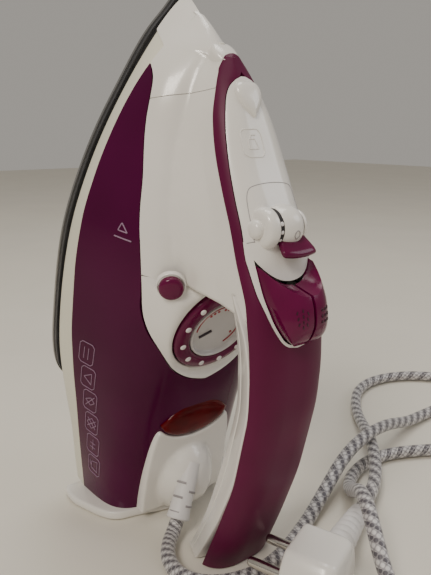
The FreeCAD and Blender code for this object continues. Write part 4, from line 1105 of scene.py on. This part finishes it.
# %% Scale on the drum
SCALE = [(7.9, 4.3), (7.9, 6.4), (0, 6.45)]
turned("selector_scale", SCALE, knob, left_way, dark_slot, "selector", count=72, soft=0)
scale_up = Vector((-0.3, 0, 0.95)).normalized()
scale_side = scale_up.cross(left_way)
for k in range(5):
    lean_by = math.radians(-50 + 25 * k)
    way = scale_up * math.cos(lean_by) + scale_side * math.sin(lean_by)
    profile = [(0.95 - 0.12 * k, 0), (0.8 - 0.1 * k, 0.3), (0, 0.35)]
    at = knob + way * 7.8 + left_way * 5.4
    turned(f"selector_scale_dot_{k}", profile, at, way, print_white, "selector", count=16)

# %% Cheeks and side ball
turned(
    "selector_cheek",
    [(7.2, 6.3), (8.2, 6.4), (8.7, 7.2), (8.6, 9.6), (7.8, 11.2), (6.0, 12.0), (0, 12.1)],
    knob, left_way, white, "housing", ["selector_cheeks"], 72,
)  # fmt: skip
turned(
    "selector_side_ball",
    [(3.6, 10.5), (4.1, 12.0), (3.9, 13.6), (2.6, 15.0), (0, 15.5)],
    knob, left_way, white, "housing", (), 48,
)  # fmt: skip
turned(
    "selector_far_cheek",
    [(6.4, -7.9), (6.7, -8.6), (6.0, -10.2), (3.8, -11.2), (0, -11.4)],
    knob, left_way, white, "housing", (), 48,
)  # fmt: skip

# %% Drops on the drum
for k, (lean_deg, height) in enumerate(((-16, 1.9), (18, 1.9), (46, 1.4))):
    drop = [(0, -1.0), (0.75, -0.25), (0.6, 0.6), (0, 1.0), (-0.6, 0.6), (-0.75, -0.25), (0, -1.0)]
    outline = []
    for u, v in even(np.array(drop) * height, 24):
        turn_by = math.radians(lean_deg) - v / 9.1
        way = scale_up * math.cos(turn_by) + scale_side * math.sin(turn_by)
        outline.append(tuple(knob + left_way * (-1.8 + u) + way * (9.2 - 0.006 * (1.8 - u) ** 2)))
    wire(f"selector_drop_{k}", outline, 0.2, grey_print_and_gap_shade, "selector")

# %% Thumb lever
LEVER_MID, LEVER_HALF = -2.2, 8.6
lever_way = Vector((-0.5, 0, 0.87)).normalized()
lever_side = lever_way.cross(left_way)
rows = []
LEVER_STEPS = [
    (6.5, 1.3, 0.80), (10.5, 1.4, 0.92), (13.4, 1.5, 1.0), (15.0, 1.3, 1.0), (15.7, 0.7, 0.96),
    (15.8, 0.0, 0.88),
]  # fmt: skip
for height, long, wide in LEVER_STEPS:
    ring = []
    for k in range(40):
        angle = 2 * math.pi * k / 40
        cx, cy = math.cos(angle), math.sin(angle)
        squeeze = 1 / max((abs(cx) ** 5 + abs(cy) ** 5) ** 0.2, 1e-6)
        bow = 0.9 * (cy * squeeze) ** 2
        ring.append(
            tuple(
                knob + lever_way * (height - bow) + lever_side * (long * cx * squeeze)
                + left_way * (LEVER_MID + LEVER_HALF * wide * cy * squeeze)
            )
        )  # fmt: skip
    rows.append(ring)
mesh = mesh_of("selector_thumb_lever", [np.array(rows)], wrap=True)
show("selector_thumb_lever", mesh, gloss_purple, "selector", ["selector_lever"])

# %% [markdown]
# ## Spray hood and filler lid
# Both are drop-shaped domes on the nose: the hood carries the spray nozzle, and the lid covers the filler.

# %% Drops
CROWNING = [(1.0, 0.0), (0.985, 0.30), (0.93, 0.58), (0.8, 0.80), (0.6, 0.92), (0.3, 0.985), (0.0, 1.0)]


def drop_dome(name, at, axis, long, wide, tail, rise, finish, body, stands_for, skirt_depth):
    """A domed drop; its blunt end points down the slope."""
    way = Vector(axis).normalized()
    down = Vector((way.z, 0, -way.x))
    across = way.cross(down)
    drop = [
        (long, 0), (long, wide * 0.75), (long * 0.3, wide * 1.08), (-tail * 0.45, wide * 0.72), (-tail, 0),
    ]  # fmt: skip
    half = rounded(drop, 3)
    loop = [*half, *[(a, -b) for a, b in half[-2:0:-1]]]
    rows = []
    for share, height in [(1.0, -skirt_depth), *CROWNING]:
        base = Vector(at) + way * (height * rise if height > 0 else height)
        rows.append([tuple(base + down * (a * share) + across * (b * share)) for a, b in loop])
    mesh = mesh_of(name, [np.array(rows)], wrap=True)
    return show(name, mesh, finish, body, stands_for)


drop_dome(
    "spray_hood_dome", (256, 0, 42), (0.86, 0, 0.51), 8.6, 6.4, 10.5, 3.4, white, "housing",
    ["spray_hood"], 4.0,
)  # fmt: skip
drop_dome(
    "filler_lid_dome", (244.5, 0, 60.5), (0.63, 0, 0.78), 6.4, 6.6, 9.6, 2.8, white, "lid",
    ["filler_lid"], 1.0,
)  # fmt: skip
nozzle_way = Vector((0.93, 0, -0.37)).normalized()
nozzle_at = Vector((255, 0, 39)) + nozzle_way * 6.2
turned(
    "spray_nozzle_ring",
    [(1.9, -2), (1.9, 0.8), (1.6, 1.2), (0.7, 1.2), (0.6, 0.4)],
    nozzle_at, nozzle_way, inner, "housing", ["spray_nozzle"], 32,
)  # fmt: skip

# %% [markdown]
# ## Cord cover, lamp lens and cord guard
# The cover behind the tank is a plate with a blown-up dome where the cord leaves. A red lens stands along
# its front edge, over the neon lamp.

# %% Cord cover
COVER = [
    (66.5, 0), (67.4, 8), (70.5, 16), (76, 21.5), (68, 24.3), (49, 26), (35, 26.6), (10, 26.3), (-12, 26),
]  # fmt: skip
outline = rounded(COVER, 2)
loop = np.array([*outline, *[(x, -y) for x, y in outline[::-1][:-1]]])
hub = np.array([38.0, 0.0])


def cover_height(x, y):
    """The plate's crown and the dome over the cord's outlet, blended where they meet."""
    plate = 60.4 + 0.8 * (1 - (y / 26) ** 2)
    room = 1 - ((x - 38) / 22.1) ** 2 - ((y - 1.5) / 17) ** 2
    if room <= 0:
        foot = min(max(1 + room / 0.35, 0.0), 1.0)
        return plate + 0.9 * foot**3
    return max(59 + 15.6 * math.sqrt(room), plate + 0.9 + 6 * room)


rows = []
for px, py in loop:
    spoke = []
    for share, drop in ((1.0, 6.0), (1.0, 0.9), (0.99, 0.3), (0.965, 0.0)):
        x, y = hub + (np.array([px, py]) - hub) * share
        spoke.append((x, y, cover_height(x, y) - drop))
    for share in np.linspace(0.93, 0.0, 30):
        x, y = hub + (np.array([px, py]) - hub) * share
        spoke.append((x, y, cover_height(x, y)))
    rows.append(spoke)
mesh = mesh_of("cord_cover_shell", [np.array([*rows, rows[0]])], cuts=[FOOT])
show("cord_cover_shell", mesh, white, "housing", ["cord_cover"])

# %% Lamp lens
FRONT_ARC = [(0, 89.3), (8, 87.8), (15, 84.2), (21.2, 78.6)]
LENS_STEPS = [
    (0.0, 5.0), (0.0, 1.0), (0.03, 0.4), (0.10, 0.05), (0.3, -0.1), (0.5, -0.15), (0.7, -0.1), (0.90, 0.05),
    (0.97, 0.4), (1.0, 1.0), (1.0, 5.0),
]  # fmt: skip
REAR_ARC = [(0, 67.8), (4, 68.0), (10.5, 69.6), (17.6, 73.6), (21.2, 78.2)]
rows = []
for y in np.linspace(0, 21.0, 26):
    front, rear = half_of(FRONT_ARC, y), half_of(REAR_ARC, y)
    row = []
    for share, drop in LENS_STEPS:
        fade = max((y - 17.0) / 4.0, 0.0) ** 2 * 1.4
        row.append((rear + (front - rear) * share, y, 61.4 - drop - fade))
    rows.append(row)
mesh = mesh_of("lamp_window", both_sides(np.array(rows)))
show("lamp_window", mesh, lens_red, "housing", ["lamp_lens"])

# %% Cord guard
LYING_START, LYING_END = np.array([41.8, -2.0, 34.2]), np.array([50.0, -17.0, 9.6])


def lie(point):
    """A point of the standing iron, in mm, as a point on the lying iron."""
    x, y, z = point
    return Vector(((x + HEEL_MID) * SIN + z * COS, -y, (x + HEEL_MID) * COS - z * SIN))


guard_start, guard_end = lie(LYING_START), lie(LYING_END)
guard_way = (guard_end - guard_start).normalized()
guard_long = (guard_end - guard_start).length
profile = [
    (5.0, 0.0), (5.3, guard_long * 0.4), (5.5, guard_long * 0.78), (6.1, guard_long - 1.6),
    (6.2, guard_long - 0.5), (5.6, guard_long), (4.2, guard_long), (4.0, guard_long - 2),
]  # fmt: skip
turned(
    "cord_guard_sleeve", profile, guard_start, guard_way, rubber, "housing", ["cord_guard"],
    48, 1,
)  # fmt: skip
guard_side = guard_way.orthogonal().normalized()
guard_up = guard_way.cross(guard_side)
# The guard's slots are drawn as grey lines: painted shade inside the slots.
for k in range(5):
    for half_turn in (0, 1):
        turn_by = math.pi * half_turn + (math.pi / 2 if k % 2 else 0.0) + 0.5
        middle = guard_start + guard_way * (guard_long * (0.38 + 0.125 * k))
        arc = [
            tuple(middle + (guard_side * math.cos(turn_by + a) + guard_up * math.sin(turn_by + a)) * 5.35)
            for a in np.linspace(-0.55, 0.55, 7)
        ]
        wire(f"guard_slot_{k}_{half_turn}", arc, 0.62, grey_print_and_gap_shade, "housing")

# %% [markdown]
# ## Heel plate
# The iron rests on a flat lobe behind the tank. Its edge is rounded where it meets the table.

# %% Heel plate
heel = [
    (-21.5, 49), (-17, 51), (-8, 51), (2, 47.5), (11, 44.5), (20.5, 38.5), (23, 26), (27.5, 14),
    (29.5, 0),
]  # fmt: skip
outline = rounded(heel, 2)
loop = [*outline, *[(x, -y) for x, y in outline[::-1][1:]]]
HEEL_EDGE = [
    (0.0, 0.0), (0.975, 0.0), (0.992, 0.4), (1.0, 1.4), (1.0, 4.2), (0.992, 4.8), (0.97, 5.0), (0.0, 5.0),
]  # fmt: skip
rows = []
for share, z in HEEL_EDGE:
    rows.append([tuple(lie((x * share, y * share, z))) for x, y in loop])
mesh = mesh_of("heel_plate_lobe", [np.array(rows)], wrap=True)
show("heel_plate_lobe", mesh, white, "housing", ["heel_plate"])

# %% [markdown]
# ## Plug
# A round-pin plug with a soft body: flat faces, rounded rim, and a ribbed sleeve where the cord enters.

# %% Plug
plug_at = Vector((127, 9, 15))
pin_way = Vector((-0.93, -0.37, 0)).normalized()
plug_side = Vector((-0.37, 0.93, 0)).normalized()
plug_up = pin_way.cross(plug_side)
PLUG_STEPS = [
    (-12.0, 0.0), (-12.0, 0.80), (-11.0, 0.92), (-9.0, 0.98), (-6.0, 1.0), (6, 1.0), (10.5, 1.0),
    (11.6, 0.98), (12.0, 0.94), (12.0, 0.0),
]  # fmt: skip
PLUG_HALF, FLAT_HALF = 18.5, 14.9
rows = []
for along, grow in PLUG_STEPS:
    ring = []
    for k in range(72):
        angle = 2 * math.pi * k / 72
        wide = PLUG_HALF * math.cos(angle)
        tall = max(min(PLUG_HALF * math.sin(angle), FLAT_HALF), -FLAT_HALF)
        p = plug_at + pin_way * along + plug_side * (wide * grow) + plug_up * (tall * grow)
        ring.append(tuple(lie(p)))
    rows.append(ring)
mesh = mesh_of("plug_shell", [np.array(rows)], wrap=True)
plug = show("plug_shell", mesh, white, "housing", ["plug_body"])

# %% Plug's sleeve
relief_from, relief_to = lie(plug_at + plug_side * 16.5 - Vector((0, 0, 3))), lie((102.5, 66, 8.5))
relief_way, relief_long = (relief_to - relief_from).normalized(), (relief_to - relief_from).length
profile = [(8.2, 0.0), (8.0, 4.0)]
for k in range(7):
    start = 6 + k * (relief_long - 8) / 7
    radius = 7.6 - 2.3 * k / 7
    profile += [(radius, start), (radius, start + 2.6)]
    profile += [(radius - 0.9, start + 3.0), (radius - 0.9, start + 3.9)]
profile += [(5.3, relief_long - 0.4), (4.6, relief_long), (3.8, relief_long)]
relief = turned(
    "plug_sleeve", profile, relief_from, relief_way, rubber, "housing", ["plug_relief"],
    48, 1,
)  # fmt: skip

# %% Pins and the cord's line
PIN = [(2.4, 0), (2.4, 8.6), (2.4, 17.4), (2.1, 18.9), (1.2, 19.4), (0, 19.5)]
for side in (1, -1):
    foot = lie(plug_at + plug_side * (9.5 * side) + pin_way * 11.5)
    way = (lie(plug_at + plug_side * (9.5 * side) + pin_way * 20) - foot).normalized()
    pin = turned(
        f"plug_pin_{side + 2}", PIN, foot, way, nickel, "housing", ["plug_pins"], 32, 1,
    )  # fmt: skip

# %% [markdown]
# ## Inner and lower pieces
# The remaining CAD nodes keep their exact surfaces and take a finish each.

# %% CAD finishes
FINISHES = {
    "soleplate_skin": steel, "sole_casting": cast, "heating_element": dark_steel,
    "steam_chamber_cover": dark_steel, "heat_seal": seal_black, "steam_valve_rod": spring,
    "steam_valve_seat": inner, "spray_pump": inner, "burst_pump": inner, "spray_piston": inner,
    "burst_piston": inner, "spray_spring": spring, "burst_spring": spring, "button_axle": spring,
    "burst_tube": hose, "suction_tube": hose, "spray_hose": hose, "dial_shaft": inner,
    "thermostat": inner, "thermostat_spindle": spring, "thermal_fuse": inner, "self_clean_stem": inner,
    "filler_neck": hose, "neon_lamp": glass, "terminal_block": inner, "cable_clamp": inner,
    "lead_wires": hose, "base_screws": spring,
}  # fmt: skip
REST = {
    "skirt": cream, "water_tank": tank_purple, "deck_shell": white, "nose_shell": white,
    "handle_shell": soft_purple, "top_cover": white, "handle_frame": white, "button_frame": silver,
    "selector_lever": gloss_purple, "selector_drum": white, "selector_cheeks": white,
    "spray_button": gloss_purple, "burst_button": gloss_purple, "dial_ring": gloss_purple,
    "dial_cap": pale_grey, "self_clean_button": gloss_purple, "spray_hood": white, "spray_nozzle": inner,
    "filler_lid": white, "heel_plate": white, "cord_cover": white, "lamp_lens": lens_red,
    "cord_guard": rubber, "cord_lead": braid, "cord_tail": braid, "cord_coil": braid, "plug_body": white,
    "plug_relief": rubber, "plug_pins": nickel,
}  # fmt: skip
for name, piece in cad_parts.items():
    finish = FINISHES.get(name) or REST[name]
    piece.data.materials.clear()
    piece.data.materials.append(finish)
print("finished", len(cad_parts), "nodes")

# %% [markdown]
# ## Table, light and room
# A pale table top, a large soft lamp over the eye's left shoulder, a weaker one on the right and a pale
# room give soft reflections.

# %% Table
bm = bmesh.new()
bmesh.ops.create_grid(bm, x_segments=2, y_segments=2, size=3.0)
mesh = bpy.data.meshes.new("table_top")
bm.to_mesh(mesh)
bm.free()
table_top = bpy.data.objects.new("table_top", mesh)
bpy.context.scene.collection.objects.link(table_top)
table_finish = material("pale_table", "e4dfd3", 0.6, tint=("e1dcd0", 120))
mesh.materials.append(table_finish)
table_top.location = (0, 0, -0.0005)
print("table", table_finish.name)

# %% Light
room = bpy.data.worlds.new("room")
room.use_nodes = True
room.node_tree.nodes["Background"].inputs["Color"].default_value = linear("efe9e0")
room.node_tree.nodes["Background"].inputs["Strength"].default_value = 0.42
bpy.context.scene.world = room
for label, at, size, power, colour in (
    ("key_lamp", (0.55, -1.05, 1.25), 0.5, 13, "fff6ea"),
    ("side_lamp", (0.8, 1.1, 0.9), 0.6, 3.0, "f4f6ff"),
    ("top_lamp", (-0.1, 0.2, 1.5), 0.7, 7, "fffdf8"),
):
    data = bpy.data.lights.new(label, "AREA")
    data.energy, data.size, data.color = power, size, linear(colour)[:3]
    lamp = bpy.data.objects.new(label, data)
    bpy.context.scene.collection.objects.link(lamp)
    lamp.location = at
    lamp.rotation_mode = "QUATERNION"
    lamp.rotation_quaternion = (Vector((0.03, 0, 0.12)) - Vector(at)).to_track_quat("-Z", "Y")
    print(label, power, "W")
